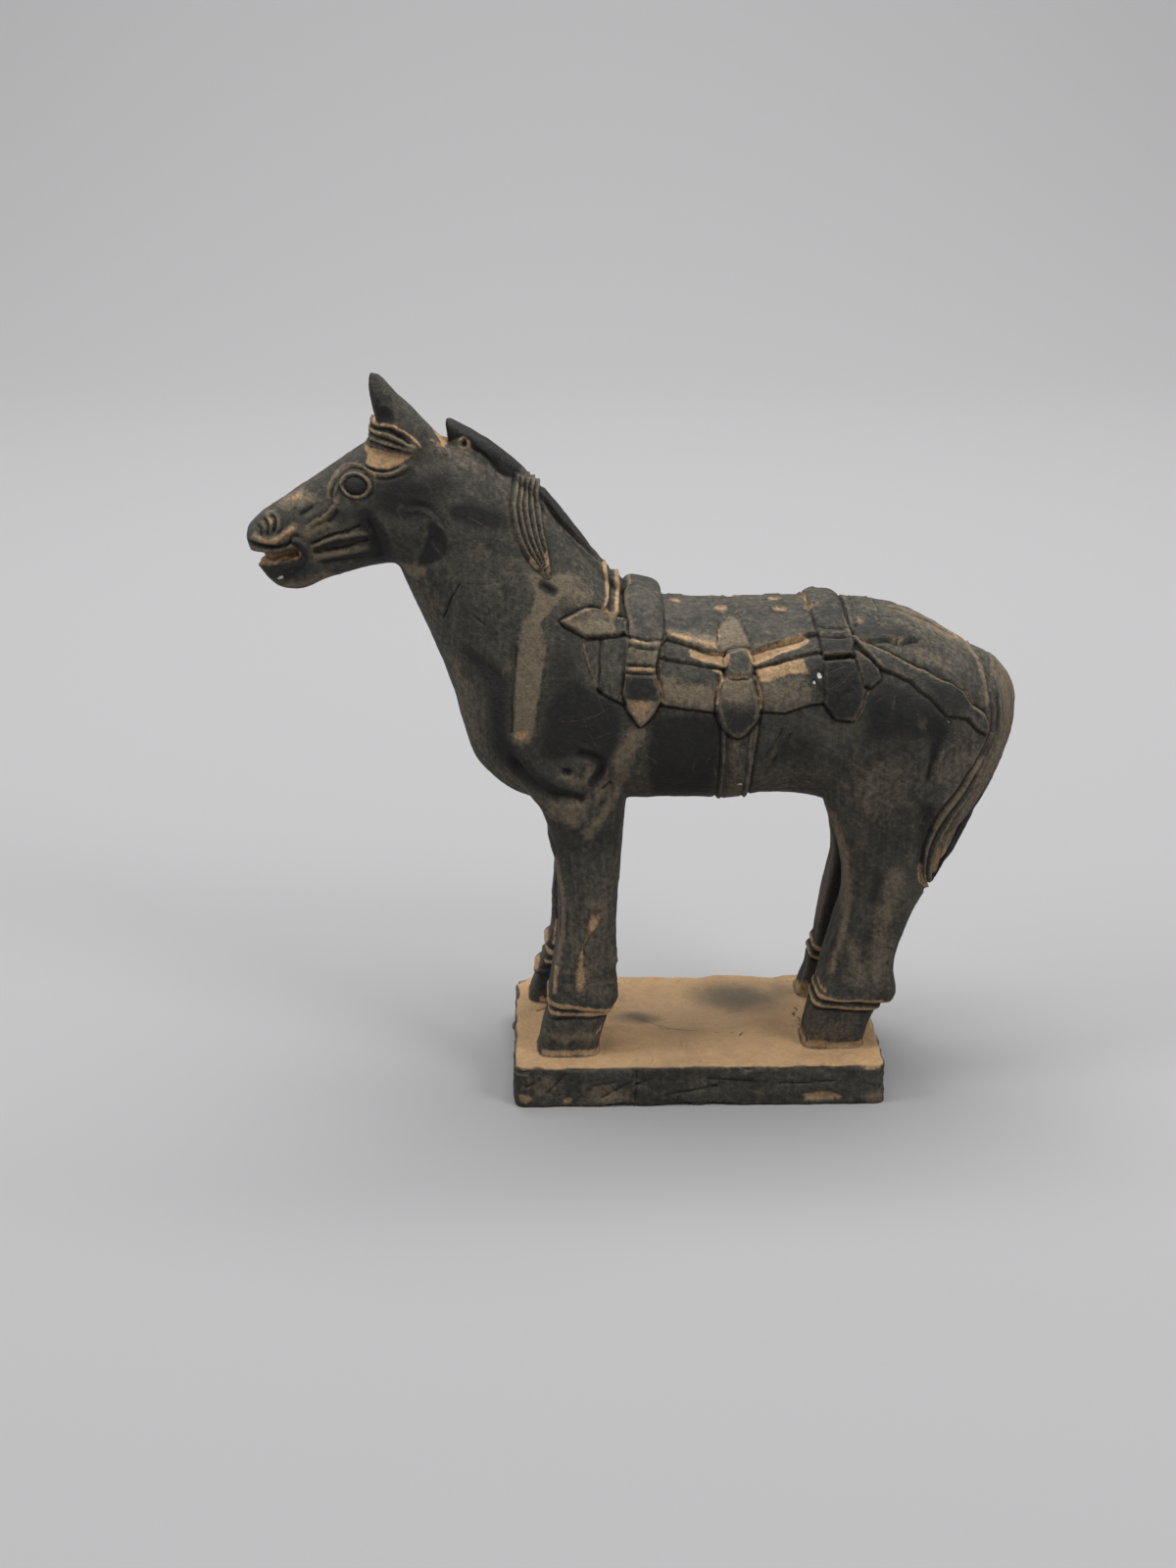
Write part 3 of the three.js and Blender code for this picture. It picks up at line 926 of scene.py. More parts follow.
@dataclass
class Head(Part):
    """The head with its ears, forelock, eye, nostril and open mouth."""

    name = "head"
    ear_tip: float = 183.2
    ear_drop: float = 2.2

    def masses(self) -> list[Mass]:
        """The head, the bundle of forelock, and the two ears."""
        head = Ladder([
            [-110.5, 142.8, -109.6, 139.4, 2.2, 0],
            [-109.9, 145.6, -106.8, 134.4, 5, 0],
            [-106.6, 148.5, -103.2, 130.6, 6.6, 0],
            [-101.5, 152.2, -97.5, 129.9, 7.4, 0],
            [-94.5, 156.8, -91.4, 132.4, 8.6, -0.04],
            [-87.2, 161.6, -84.6, 134.6, 10.4, -0.06],
            [-80.5, 165.6, -77.4, 136.3, 12, -0.04],
            [-72.5, 168, -69.5, 136.4, 12.8, 0],
            [-65, 167.6, -61.5, 138.5, 12, 0.1],
            [-59.5, 164, -55.5, 144, 8, 0.1],
        ], power=2.35)
        forelock = Ladder([
            [-80, 170.9, -80.2, 165, 4.4, 0],
            [-77.6, 171.8, -76.8, 164.4, 8.6, 0],
            [-71, 169.9, -70.5, 164, 10.9, 0],
            [-66, 166.7, -66.5, 163.6, 10.2, 0],
        ], power=2.4)
        tip = self.ear_tip
        ears = [Column([
            [tip - drop, -79.4, -77.9, 4.1, 5.6],
            [tip - 1.5 - drop, -79.7, -76.4, 3.6, 6.3],
            [tip - 3.6 - drop, -79.7, -74.4, 2.9, 7.2],
            [176.2 - drop, -79.1, -71.1, 2.1, 8.2],
            [172.4 - drop, -78.5, -67.6, 1.3, 9.2],
            [169.4 - drop, -78.4, -64.5, 0.9, 9.6],
            [164 - drop, -77.8, -61, 0.8, 9.8],
        ], power=2.0, side=side) for side, drop in ((-1, 0.0), (1, self.ear_drop))]
        return [head, forelock, *ears]

    def carving(self) -> list[Any]:
        """Everything cut in the head, from the muzzle back to the jowl."""
        fine = 0.36
        return [
            Eye(),
            Line([[-89.8, 154.2], [-89.4, 156.7], [-88.1, 159.1], [-86.1, 161.1], [-83.4, 161.9],
                  [-80.8, 161.3], [-78.4, 159.9]], 0.42, fine, fade=0.05, burr=0.1),
            Line([[-89, 153.9], [-88.5, 156.4], [-87.3, 158.6], [-85.7, 160.5], [-83.4, 161.3],
                  [-80.9, 160.7], [-78.6, 159.6]], -0.5, 0.3, fade=0.05, burr=0.0),
            Line([[-88.2, 153.8], [-87.6, 156], [-86.6, 158.2], [-85.2, 160], [-83.2, 160.7],
                  [-80.8, 160.2]], 0.35, 0.3, fade=0.05, burr=0.0),
            Line([[-81.4, 161.6], [-79.3, 161.2], [-76.8, 161], [-74.6, 161.5], [-72.4, 162.5]], -0.6, fine,
                 burr=0.2),
            Line([[-80.8, 160.8], [-77.8, 160.2], [-74.9, 160.4], [-72.4, 161.4], [-70.6, 162.6]],
                 0.45, fine),
            Line([[-78.8, 159.4], [-74.9, 159.5], [-71.9, 160.4], [-68.5, 162.2]], -0.35, 0.5),
            Line([[-87.5, 153.9], [-90.1, 150.6], [-93.3, 148.1], [-95.4, 145.6]], 0.5, 0.5, burr=0.2),
            Line([[-88.2, 153.4], [-89.9, 151.2], [-92.4, 149]], -0.55, 0.5),
            Line([[-87.2, 151.6], [-89.6, 148.6], [-92.2, 146.6]], -0.4, 0.8),
            Line([[-93.3, 152.4], [-95.3, 150.6], [-97.9, 149.2]], -0.6, 0.6, fade=0.3),
            Line([[-92, 151.2], [-94, 149.4], [-96.4, 148]], 0.3, 0.5, fade=0.3),
            Mound((-104.4, 146.8), (3.0, 2.6), 0.7, turn=35),
            Line([[-104.7, 149.3], [-102.8, 149.2], [-101.9, 147.7], [-102.3, 145.8], [-103.6, 144.7]],
                 0.4, 0.32),
            Line([[-105.5, 148.2], [-104.1, 147.9], [-103.6, 146.4], [-104.5, 144.6]], 0.4, 0.3, burr=0.0),
            Line([[-106.9, 147.1], [-105.7, 146.5], [-105.1, 145.2], [-105.8, 143.9]], 0.35, 0.3, burr=0.0),
            Line([[-104.6, 148.7], [-103.2, 148.5], [-102.8, 146.7], [-103.6, 145.1]],
                 -0.6, 0.34, burr=0.0),
            Line([[-106.2, 147.9], [-105, 147.4], [-104.4, 146.1], [-105.1, 144.6]], -0.6, 0.34, burr=0.0),
            Line([[-107.8, 146.4], [-106.6, 145.6], [-106.4, 143.8]], -0.5, 0.34, burr=0.0),
            Line([[-109, 143.6], [-107.5, 143.4], [-104.7, 143.2], [-101.6, 144], [-99.6, 145.4],
                  [-98, 146.6]], 0.6, 0.8),
            Line([[-110, 142.2], [-106.8, 141.8], [-103.7, 141.6], [-100.6, 142.1], [-99, 143]],
                 -0.7, 0.42, fade=0.04),
            Plate([[-113, 139.7], [-106.9, 139.8], [-105.2, 139.6], [-101, 140.6], [-97.7, 141.2],
                   [-97.3, 139], [-100, 138.3], [-102.1, 138], [-104.8, 136.7], [-108, 136.4],
                   [-113, 136.4]], -2.6, 0.3, 0.0),
            Line([[-99.4, 143.3], [-96.8, 142.5], [-95.8, 140], [-96.8, 137.4], [-100.4, 136.2],
                  [-104.6, 134.6]], 0.55, 0.8, fade=0.08),
            Line([[-105, 132.4], [-101.6, 132.9], [-98, 134], [-95, 136]], -0.3, 0.8),
            Line([[-94.6, 142.8], [-93, 143.4], [-89.9, 144.8], [-83.7, 147.3], [-81.9, 148]], -0.65, 0.42),
            Line([[-95.2, 144.5], [-92.3, 146.7], [-89.5, 148.1]], 0.4, 0.6),
            Line([[-94.1, 142], [-89.9, 143.6], [-85, 145.2], [-80.3, 146]], 0.4, 0.55, burr=0.1),
            Line([[-94, 140.4], [-92.6, 140.7], [-85.5, 142.4], [-79.8, 144.7]], -0.6, 0.42),
            Line([[-93.5, 139.1], [-87.6, 140.5], [-80.4, 142.4]], 0.35, 0.5, burr=0.1),
            Line([[-92.8, 137.6], [-85.2, 138.9], [-77.6, 140.4]], -0.45, 0.55),
            Line([[-80.6, 149.6], [-79, 147], [-78.2, 143.7], [-77.6, 140.1]], -0.45, 0.9),
            Mound((-69, 146.6), (7.6, 6.6), 0.9),
            Line([[-74, 152.4], [-72, 152.9], [-68.6, 153.3], [-65.4, 152.2], [-62.8, 149.3], [-61, 146.1],
                  [-60.5, 142.7], [-62.9, 139.9], [-67.5, 138.5]], -0.35, 0.7, fade=0.3, burr=0.3),
            Line([[-72, 151.8], [-68.6, 152.2], [-66, 151.2], [-64, 149]], 0.2, 0.5, fade=0.3),
            Mound((-63.6, 143.4), (1.6, 4.2), -0.5, turn=8),
            *self.forelock(),
            Mound((-76, 173.6), (2.2, 2.8), -0.9, turn=-35),
            Line([[-79, 181.4], [-78.2, 177], [-77.6, 173.4]], 0.25, 0.4, burr=0.0),
        ]

    def forelock(self) -> list[Line]:
        """Four pale crests with deep grooves between, gathered below the ear."""
        crests = [
            [[-80, 171.2], [-78.8, 171], [-74.6, 171.4], [-71.7, 170], [-69.3, 168], [-67.5, 166.2]],
            [[-81, 169.4], [-79, 169.6], [-75.7, 169.4], [-72.2, 168], [-68.6, 166.1]],
            [[-81.2, 167.4], [-79.4, 167.6], [-76.8, 167.2], [-73.3, 166.5], [-69, 165.7]],
            [[-81.4, 165.6], [-79.6, 165.9], [-77, 165.7], [-73.8, 165.2], [-69.6, 165]],
        ]
        lines = [Line(c, 0.5, 0.34, fade=0.02, burr=0.0) for c in crests]
        for upper, lower in zip(crests[:-1], crests[1:]):
            a, b = curve_through(upper, 1.5), curve_through(lower, 1.5)
            n = min(len(a), len(b))
            rows = (blend_rows(a, n) + blend_rows(b, n)) / 2
            lines.append(Line(rows[:-1].tolist(), -0.85, 0.46, fade=0.1, burr=0.0))
        return lines

    def patches(self) -> list[Any]:
        """Bare clay under the forelock and in the mouth, and smoke round the jowl."""
        near = Side.NEAR
        return [
            Stain(Tint.BARE, [[-81.6, 165.4], [-76.9, 165.4], [-73.8, 165], [-69.4, 164.7], [-70.9, 163.7],
                              [-72.9, 162.5], [-74.8, 161.9], [-77.3, 161.6], [-79.3, 161.8],
                              [-80.8, 162.6], [-79.9, 163.7], [-81, 164.7]], 1.0, 0.7),
            Smear(Tint.BARE, [[-79, 171.4], [-75, 171.6], [-71.7, 170.4], [-69.3, 168.3], [-67.6, 166.4]],
                  0.45, 0.7),
            Smear(Tint.BARE, [[-81, 169.5], [-77, 169.5]], 0.35, 0.7),
            Smear(Tint.DUST, [[-80, 169.5], [-75.7, 169.4], [-72.2, 168], [-68.6, 166.1]], 0.5, 1.0),
            Smear(Tint.DUST, [[-80, 167.5], [-76.8, 167.2], [-73.3, 166.5], [-69, 165.7]], 0.5, 1.0),
            Stain(Tint.BARE, [[-112, 139.7], [-105.2, 139.7], [-101, 140.6], [-97.6, 141.2], [-97.2, 139],
                              [-100, 138.3], [-102.1, 138], [-104.8, 136.7], [-112, 136.2]], 1.1, 0.6),
            Smear(Tint.BARE, [[-106.6, 143.3], [-104.7, 143.1], [-101.6, 143.9], [-98.6, 146.2]], 0.7, 0.7),
            Smear(Tint.DUST, [[-107.8, 143.4], [-104.7, 143.1], [-101.6, 143.9], [-98, 146.6]], 1.0, 1.0),
            Stain(Tint.BARE, [[-100.9, 152.5], [-97.7, 154.1], [-95, 154.1], [-97.9, 152.7]], 0.75, 0.8),
            Smear(Tint.DUST, [[-101, 152], [-97, 153.6], [-93.6, 153.4]], 1.4, 0.8),
            Smear(Tint.DUST, [[-104.7, 149.2], [-102.6, 148.6], [-102, 146.6]], 0.6, 0.9),
            Smear(Tint.BARE, [[-104.2, 147.8], [-103.7, 147.2]], 0.5, 0.8, near),
            Smear(Tint.DUST, [[-87.7, 153.7], [-90.1, 150.5], [-93.3, 148.1], [-95.4, 145.6]], 0.8, 0.9),
            Smear(Tint.DUST, [[-95.4, 144.8], [-92.3, 146.7], [-89.8, 147.8]], 0.9, 0.95),
            Smear(Tint.DUST, [[-94.1, 142], [-89.9, 143.6], [-85, 145.2], [-80.3, 146]], 0.7, 0.95),
            Smear(Tint.DUST, [[-93.5, 139.1], [-87.6, 140.5], [-80.4, 142.4]], 0.8, 0.9),
            Smear(Tint.DUST, [[-101, 131.4], [-96.3, 132.2], [-90.6, 134.4]], 1.3, 0.8),
            Smear(Tint.DUST, [[-80.2, 160.7], [-77.6, 160.2], [-74.6, 160.6], [-71.4, 162]], 0.5, 1.0),
            Smear(Tint.BARE, [[-79.8, 160.5], [-78.6, 160.2]], 0.45, 1.0),
            Smear(Tint.DUST, [[-86.4, 157.3], [-85, 159.5], [-83, 160.1], [-80.6, 159.2], [-79.8, 157.4],
                              [-81, 155.4], [-83.2, 154.8], [-85.4, 155.6], [-86.4, 157.3]], 0.45, 0.95),
            Smear(Tint.DUST, [[-89.7, 154.4], [-89.3, 156.7], [-88, 159], [-86, 161], [-83.4, 161.7],
                              [-80.8, 161.2]], 0.45, 0.9),
            Stain(Tint.SOOT, [[-65.9, 149.2], [-63.1, 147.3], [-61.6, 144.1], [-62.7, 141], [-66, 139.2],
                              [-69.4, 138], [-67.6, 140.6], [-66.4, 144]], 1.5, 1.1),
            Smear(Tint.SOOT, [[-80.8, 150], [-79, 147], [-78.2, 143.7], [-77.8, 139.6]], 2.2, 1.3),
            Smear(Tint.SOOT, [[-93, 141.6], [-86, 143.6], [-80, 145.4]], 0.9, 1.0),
            Smear(Tint.SOOT, [[-92, 138.4], [-85.2, 139.7], [-78, 141.2]], 0.8, 0.9),
            Stain(Tint.SOOT, [[-86, 157.3], [-83.5, 159.3], [-81, 157.5], [-83.6, 155.5]], 2.0, 0.9),
            Stain(Tint.SOOT, [[-99.4, 143.3], [-96.6, 142.6], [-95.4, 140], [-96.6, 136.6], [-100.4, 133.6],
                              [-104, 133.4], [-106.6, 136.2], [-104.6, 136.6], [-100.4, 138],
                              [-97.3, 139], [-97.6, 141.4]], 1.7, 0.8),
            Smear(Tint.SOOT, [[-109, 142.2], [-104, 141.6], [-100.6, 142]], 0.7, 0.9),
            Smear(Tint.SOOT, [[-79, 155.6], [-74, 158.4], [-69, 161.4]], 1.6, 0.7),
            Spot(Tint.SOOT, (-71, -12, 154.6), (8, 12, 5), 1.2),
            Spot(Tint.SOOT, (-64, -12, 158), (9, 10, 4.5), 0.7),
            Spot(Tint.SOOT, (-86, -9, 150), (5, 8, 3), 0.6),
            Spot(Tint.SOOT, (-77, -6, 177), (5, 6, 7), 0.55),
            Stain(Tint.SOOT, [[-78.2, 177.4], [-74.8, 175.9], [-73.6, 172.5], [-76.7, 171.8],
                              [-78.4, 172.9]], 0.95, 1.0),
            Stain(Tint.DUST, [[-73.6, 137.4], [-71.3, 134.6], [-67.8, 135.6], [-67.2, 138]], 0.95, 0.9),
            Smear(Tint.CHIP, [[-102.8, 133.5], [-102, 133.8]], 0.5, 1.0, near),
            Smear(Tint.CHIP, [[-99.6, 135.5], [-99.2, 135.6]], 0.25, 0.9, near),
        ]


@dataclass
class Mane(Part):
    """The clipped mane along the crest, the lock that falls from it, and its drilled hole."""

    name = "mane"

    def masses(self) -> list[Mass]:
        """A narrow upright strip down the crest of the neck."""
        return [Ladder([
            [-61.9, 170.6, -60.6, 162, 2.6, 0],
            [-60.4, 170.8, -59.2, 162, 3.2, 0],
            [-52, 166, -53, 160, 3.6, 0],
            [-44, 159.6, -47, 154, 4, 0],
            [-34.5, 149, -37, 144, 4.6, 0],
            [-25, 136.4, -28, 133, 5, 0],
            [-17, 129.6, -20, 126, 5, 0],
        ], power=3.0)]

    def carving(self) -> list[Any]:
        """The strip's foot, the wavy lock and the hole."""
        return [
            Line([[-62.4, 166.4], [-60.7, 166.6], [-58.6, 167.2], [-56.2, 166.4], [-55.4, 164.6],
                  [-52.3, 162.8], [-49.6, 159.6], [-46.5, 157.4]], -0.45, 0.45),
            Line([[-39.4, 154], [-38.2, 151.4], [-34.5, 146.4], [-29.2, 141], [-25, 136]], -0.6, 0.5),
            Hair([[-45.3, 158.8], [-45.9, 154], [-46.3, 151.2], [-45.6, 146.8], [-44.1, 143.1],
                  [-42, 140], [-38.2, 135.9]],
                 [[-39.4, 155.4], [-39.7, 153], [-39.4, 150.2], [-38.7, 146], [-37.7, 141.6],
                  [-37.4, 136]], 5, 0.8, 1.0),
            Stud((-57.5, -3.4, 165.8), 1.3, 0.3, 1.0),
            Mound((-42.6, 163.4), (0.8, 0.8), 0.5),
        ]

    def patches(self) -> list[Any]:
        """Smoke on the strip and dust on the edges of the lock."""
        return [
            Stain(Tint.SOOT, [[-62.6, 172.4], [-56, 171], [-44, 161.4], [-44.6, 158.6], [-46.5, 157.7],
                              [-49.6, 159.8], [-52.3, 163.2], [-55.4, 164.7], [-56, 166.7],
                              [-58.4, 167.5], [-60.7, 167], [-62.2, 166.8]], 1.0, 0.7),
            Stain(Tint.SOOT, [[-40.4, 159], [-30, 147], [-20, 134], [-24, 136.2], [-29.2, 141.4],
                              [-34.5, 146.8], [-38.4, 151.6], [-39.8, 155.4]], 1.0, 0.7),
            Stain(Tint.DUST, [[-59, 166.4], [-57.4, 168], [-56, 166.8], [-55.4, 164.4], [-56.6, 163.8],
                              [-58.6, 164.6]], 0.8, 0.9),
            Smear(Tint.BARE, [[-58.6, 166.6], [-57.6, 167.2], [-56.6, 166.2]], 0.35, 0.9, Side.NEAR),
            Smear(Tint.SOOT, [[-57.5, 165.8], [-57.4, 165.7]], 0.6, 1.1, Side.NEAR),
            Smear(Tint.BARE, [[-38.4, 140.4], [-37.6, 137.6]], 0.8, 0.8),
            Smear(Tint.BARE, [[-41.8, 140], [-40.2, 138]], 0.5, 0.7),
            Stain(Tint.DUST, [[-45.5, 158.8], [-46.6, 151.2], [-45.8, 146.4], [-42.4, 139.8],
                              [-38.6, 135.8], [-36, 136], [-37, 141.6], [-38.3, 146], [-39, 152],
                              [-39.4, 156]], 0.3, 1.4),
            Smear(Tint.BARE, [[-64.8, 167.6], [-63.6, 166.8], [-62, 166]], 0.5, 0.85),
            Smear(Tint.DUST, [[-64, 165.4], [-60.6, 164.2], [-57, 162.6], [-53, 160]], 2.4, 0.42),
        ]


@dataclass
class Saddle(Part):
    """The saddle cloth and pad, pommel and cantle rolls, girth, tabs and straps."""

    name = "saddle"
    over: float = 145.0
    pommel_top: float = 130.4
    cantle_top: float = 126.3

    def masses(self) -> list[Mass]:
        """The two rolls and the low roll behind the rear one."""
        p, c = self.pommel_top, self.cantle_top
        return [
            Hoop([[-18.6, p - 2.4, 23.0], [-18.1, p - 0.8, 23.5], [-17.2, p, 23.7], [-14.4, p - 0.5, 23.7],
                  [-12.2, p - 1.2, 23.6], [-11.4, p - 2, 23.4], [-10.9, p - 3.4, 22.8]],
                 power=2.05, steps=4, sides=160),
            Hoop([[26.2, c - 2.4, 23.4], [26.9, c - 1, 24.2], [28.4, c, 24.5], [31.6, c, 24.5],
                  [33, c - 0.8, 24.3], [33.6, c - 2, 23.6]],
                 power=2.05, steps=4, sides=160, middle=104.0),
            Hoop([[33.6, c - 1.9, 23.4], [34.4, c - 1.1, 23.9], [35.6, c - 1.2, 23.9],
                  [36.4, c - 2.2, 23.2]],
                 power=2.1, steps=4, sides=160, middle=104.0),
        ]

    def carving(self) -> list[Any]:
        """Plates that overlap like the layers of the real saddle."""
        return [*self.cloth(), *self.withers(), *self.pommel(), *self.middle(), *self.cantle(),
                *self.rump()]

    def cloth(self) -> list[Any]:
        """The flap, the strap over it, and the seat pad over both."""
        top = self.over
        return [
            Plate([[-12, 122], [-11.2, 106.7], [-5, 106], [2.1, 105], [13.1, 105.1], [18.5, 104.7],
                   [23.2, 106.3], [28.4, 107], [28.6, 122]], 0.55, cut=0.5),
            Plate([[-12, 121], [-11.6, 117.7], [-9.5, 116.5], [-4.9, 115.9], [1.2, 115.1], [4.2, 114.7],
                   [11.1, 114.7], [14.4, 115.3], [18.7, 116.3], [22.9, 117.2], [28, 118.2], [28.4, 122]],
                  0.3, cut=0.55),
            Plate([[-3.8, 118.4], [0.8, 117.6], [4.8, 117.5], [4.7, 115.4], [1.7, 116], [-3.7, 117]],
                  -0.3, 0.2, 0.0),
            Plate([[10, 117.4], [14.5, 118.2], [23.6, 120.3], [23.9, 119.1], [18.7, 117.7], [13.9, 116.2],
                   [11, 115.6]], -0.3, 0.2, 0.0),
            Plate([[-12, top], [-11.6, 120.3], [-7.5, 119.7], [-2.8, 118.7], [0.9, 117.9], [4.6, 117.8],
                   [10, 117.6], [14.1, 118.5], [18.9, 119.3], [23.7, 120.4], [28.2, 121.6], [28.6, top]],
                  1.35, cut=0.55, over=True),
            Line([[2.4, 113.4], [2.9, 111.6], [2.7, 108.6], [2.2, 106]], -0.3, 0.5),
            Line([[12, 112], [12.8, 109], [13, 106]], -0.25, 0.5),
            Line([[-11.4, 117.4], [-10.2, 116], [-9, 116.6]], -0.3, 0.3),
            *[Stud(place, radius, 0.45, 0.7) for place, radius in self.studs()],
            Mound((27.1, 113.4), (0.8, 0.8), -0.6, side=Side.NEAR),
            Mound((24.4, 113.2), (1.0, 0.6), -0.5, side=Side.NEAR),
            Mound((25.8, 111.8), (0.7, 0.7), -0.5, side=Side.NEAR),
        ]

    def withers(self) -> list[Any]:
        """Bands over the withers, the leaf-shaped tab and the front panel."""
        return [
            Line([[-25, 140], [-23.8, 134.6], [-23.4, 131.6], [-23.5, 129.3], [-24.2, 127.6]], 0.45, 0.4,
                 fade=0.02),
            Line([[-23.6, 140], [-22.4, 134.4], [-22.3, 131.4], [-22.5, 129.1], [-23, 126.8]], -0.7, 0.45,
                 fade=0.02, burr=0.0),
            Line([[-21.6, 140], [-21.1, 134], [-20.9, 130], [-21.2, 128.1], [-21.6, 125.8]], 0.55, 0.5,
                 fade=0.02),
            Line([[-19.8, 140], [-19.5, 131], [-19.5, 128.3], [-19.9, 125]], -0.3, 0.55, fade=0.02),
            Line([[-18.5, 140], [-18.3, 131], [-18.2, 127.8], [-18.7, 124.9]], 0.4, 0.3, fade=0.02),
            Plate([[-29.3, 120.5], [-27.9, 115.2], [-26.3, 110.9], [-25.4, 110.2], [-25, 122]],
                  0.3, cut=0.2),
            Plate([[-25, 122.2], [-25.4, 116.8], [-25.7, 110.6], [-25.3, 109.8], [-22.3, 108.3],
                   [-19.8, 106.8], [-18, 112], [-18, 122.2]], 0.5, cut=0.5),
            Line([[-24.9, 121.6], [-25.4, 116.8], [-25.7, 111.4]], -0.45, 0.34),
            Mound((-25.6, 110), (0.9, 0.9), -0.9),
            Line([[-23.4, 121], [-23.6, 115], [-23.4, 110]], 0.15, 0.4),
            Plate([[-34.6, 125.7], [-31.6, 127.2], [-29.2, 128], [-26.8, 127.8], [-23.5, 126.5],
                   [-21.9, 125.5], [-18.4, 124.8], [-18.2, 122], [-21.5, 121.8], [-24.6, 121.9],
                   [-28.8, 122.1], [-31.1, 123.3], [-33.7, 124.9]], 0.95, 0.34, 0.5, over=True),
            Line([[-21.9, 125.6], [-21.6, 121.8]], -0.3, 0.3),
            Line([[-32.6, 125.6], [-28, 125.4], [-23, 124.2]], -0.2, 0.8),
            Line([[-34.2, 125.8], [-31.4, 126.9], [-28.8, 127.6], [-26.4, 127.3], [-23.2, 126]], 0.25, 0.3),
        ]

    def pommel(self) -> list[Any]:
        """The front roll's flank, with its bands and its pointed end."""
        return [
            Plate([[-18.9, self.over], [-18.7, 128], [-18, 124.8], [-17.8, 121.3], [-18.2, 119.4],
                   [-18.8, 114.9], [-19.8, 109.2], [-19.1, 106], [-16, 101.4], [-13.9, 103.4],
                   [-11.3, 107.2], [-11.9, 111.4], [-12.4, 115.6], [-11.7, 119.8], [-10.8, 123.9],
                   [-10.4, self.over]], 1.15, 0.3, 0.5, over=True),
            Line([[-18.6, 121.7], [-15, 121.2], [-11.3, 120.8]], -0.4, 0.3, fade=0.02),
            Line([[-18.4, 120.8], [-15, 120.3], [-11.6, 119.9]], 0.35, 0.34, fade=0.02, burr=0.0),
            Line([[-18.4, 119.9], [-15, 119.4], [-11.8, 119]], -0.35, 0.3, fade=0.02),
            Line([[-18.4, 116.1], [-15.4, 115.7], [-12.4, 115.5]], -0.6, 0.36, fade=0.02),
            Line([[-18.6, 114.1], [-15.4, 113.9], [-12.4, 113.8]], -0.35, 0.3, fade=0.02),
            Plate([[-18.4, 113.8], [-12.7, 113.6], [-12.5, 108.4], [-19.1, 108.6]], 0.25, cut=0.15),
            Line([[-13.8, 113], [-13.7, 109]], 0.2, 0.3),
            Line([[-16.9, 107.1], [-13.4, 106.6], [-15.7, 103]], -0.3, 0.26),
            Line([[-15.8, 103], [-16.9, 107]], -0.2, 0.26),
        ]

    def middle(self) -> list[Any]:
        """The tab, buckle and bell in the middle of the flank, and the girth below."""
        return [
            Plate([[3.3, 122.1], [6.3, 123.3], [7.9, 123.1], [9.1, 121.9], [10.8, 118.6], [9.9, 117.6],
                   [4.7, 117.8], [3.1, 118.6]], 0.75, cut=0.2, over=True),
            Plate([[3.6, 102.6], [3.7, 99.2], [3.8, 94], [3.8, 86.3], [3.6, 60], [11.1, 60],
                   [11.2, 82.2], [11.2, 91.1], [12, 96.5], [12.3, 102.5]], 0.45, cut=0.45),
            Line([[4.9, 100.4], [4.9, 94], [4.8, 86], [4.8, 77]], -0.3, 0.32),
            Line([[10.1, 100], [9.9, 94], [9.8, 86], [9.8, 77]], -0.22, 0.3),
            Line([[10.8, 100], [10.6, 94], [10.5, 86], [10.5, 77]], 0.22, 0.3),
            Mound((8.9, 91), (0.7, 0.5), -0.3, side=Side.NEAR),
            Plate([[4.7, 113.6], [10.3, 113.2], [11.1, 111.4], [11.9, 108.7], [12.5, 105.9], [12, 103.1],
                   [9.7, 100.5], [8.1, 98.8], [5.9, 99.4], [3.5, 102.2], [2.5, 105.1], [2.6, 107.9],
                   [3.6, 111]], 1.5, 0.6, 0.5, curved=True, over=True),
            Mound((7.4, 106), (3.6, 5.4), 0.5),
            Mound((10.6, 102.6), (1.4, 1.6), -0.3),
            Plate([[5.4, 117.7], [9.7, 117.9], [10.8, 116.3], [10.9, 114.3], [10.1, 112.8], [5.5, 113],
                   [4.6, 115.2], [4.8, 117]], 1.8, 0.6, 0.45, curved=True, over=True),
            Mound((7.8, 115.4), (2, 1.8), 0.35),
        ]

    def cantle(self) -> list[Any]:
        """The rear roll's flank with its bands, and the shield that hangs below it."""
        return [
            Plate([[25.8, self.over], [26.6, 124], [27.1, 122.4], [27.6, 120.4], [28.2, 117.2],
                   [35.2, 117.2], [35.7, 120.4], [35.2, 121.6], [34, 123.6], [33.7, self.over]],
                  1.0, 0.3, 0.45, over=True),
            Line([[27.6, 122.3], [31.9, 122.1], [35.2, 121.9]], -0.35, 0.3, fade=0.02),
            Line([[27.8, 121.5], [31.9, 121.4], [35.4, 121.2]], 0.35, 0.34, fade=0.02, burr=0.0),
            Line([[28, 120.7], [31.8, 120.6], [35.6, 120.4]], -0.4, 0.3, fade=0.02),
            Line([[28.2, 117], [31.4, 117.2], [35.4, 116.9]], -0.7, 0.4, fade=0.02),
            Plate([[28.4, 116.4], [35.3, 116.5], [36.8, 113.4], [37.9, 109.7], [37.2, 106.4], [35.2, 102.6],
                   [31.3, 103.2], [28.2, 106.8]], 1.0, 0.34, 0.4, over=True),
            Line([[38.6, 109.7], [37.5, 106], [35.6, 102.4]], 0.45, 0.34),
            *[Mound(place, (1.6, 0.6), -0.25, turn=25)
              for place in ((30.6, 112), (33.4, 109.6), (31, 107))],
            Stud((26.8, -5.6, 124.3), 1.8, 0.55, 0.3),
            Stud((26.8, 7.6, 124.3), 1.8, 0.55, 0.3),
        ]

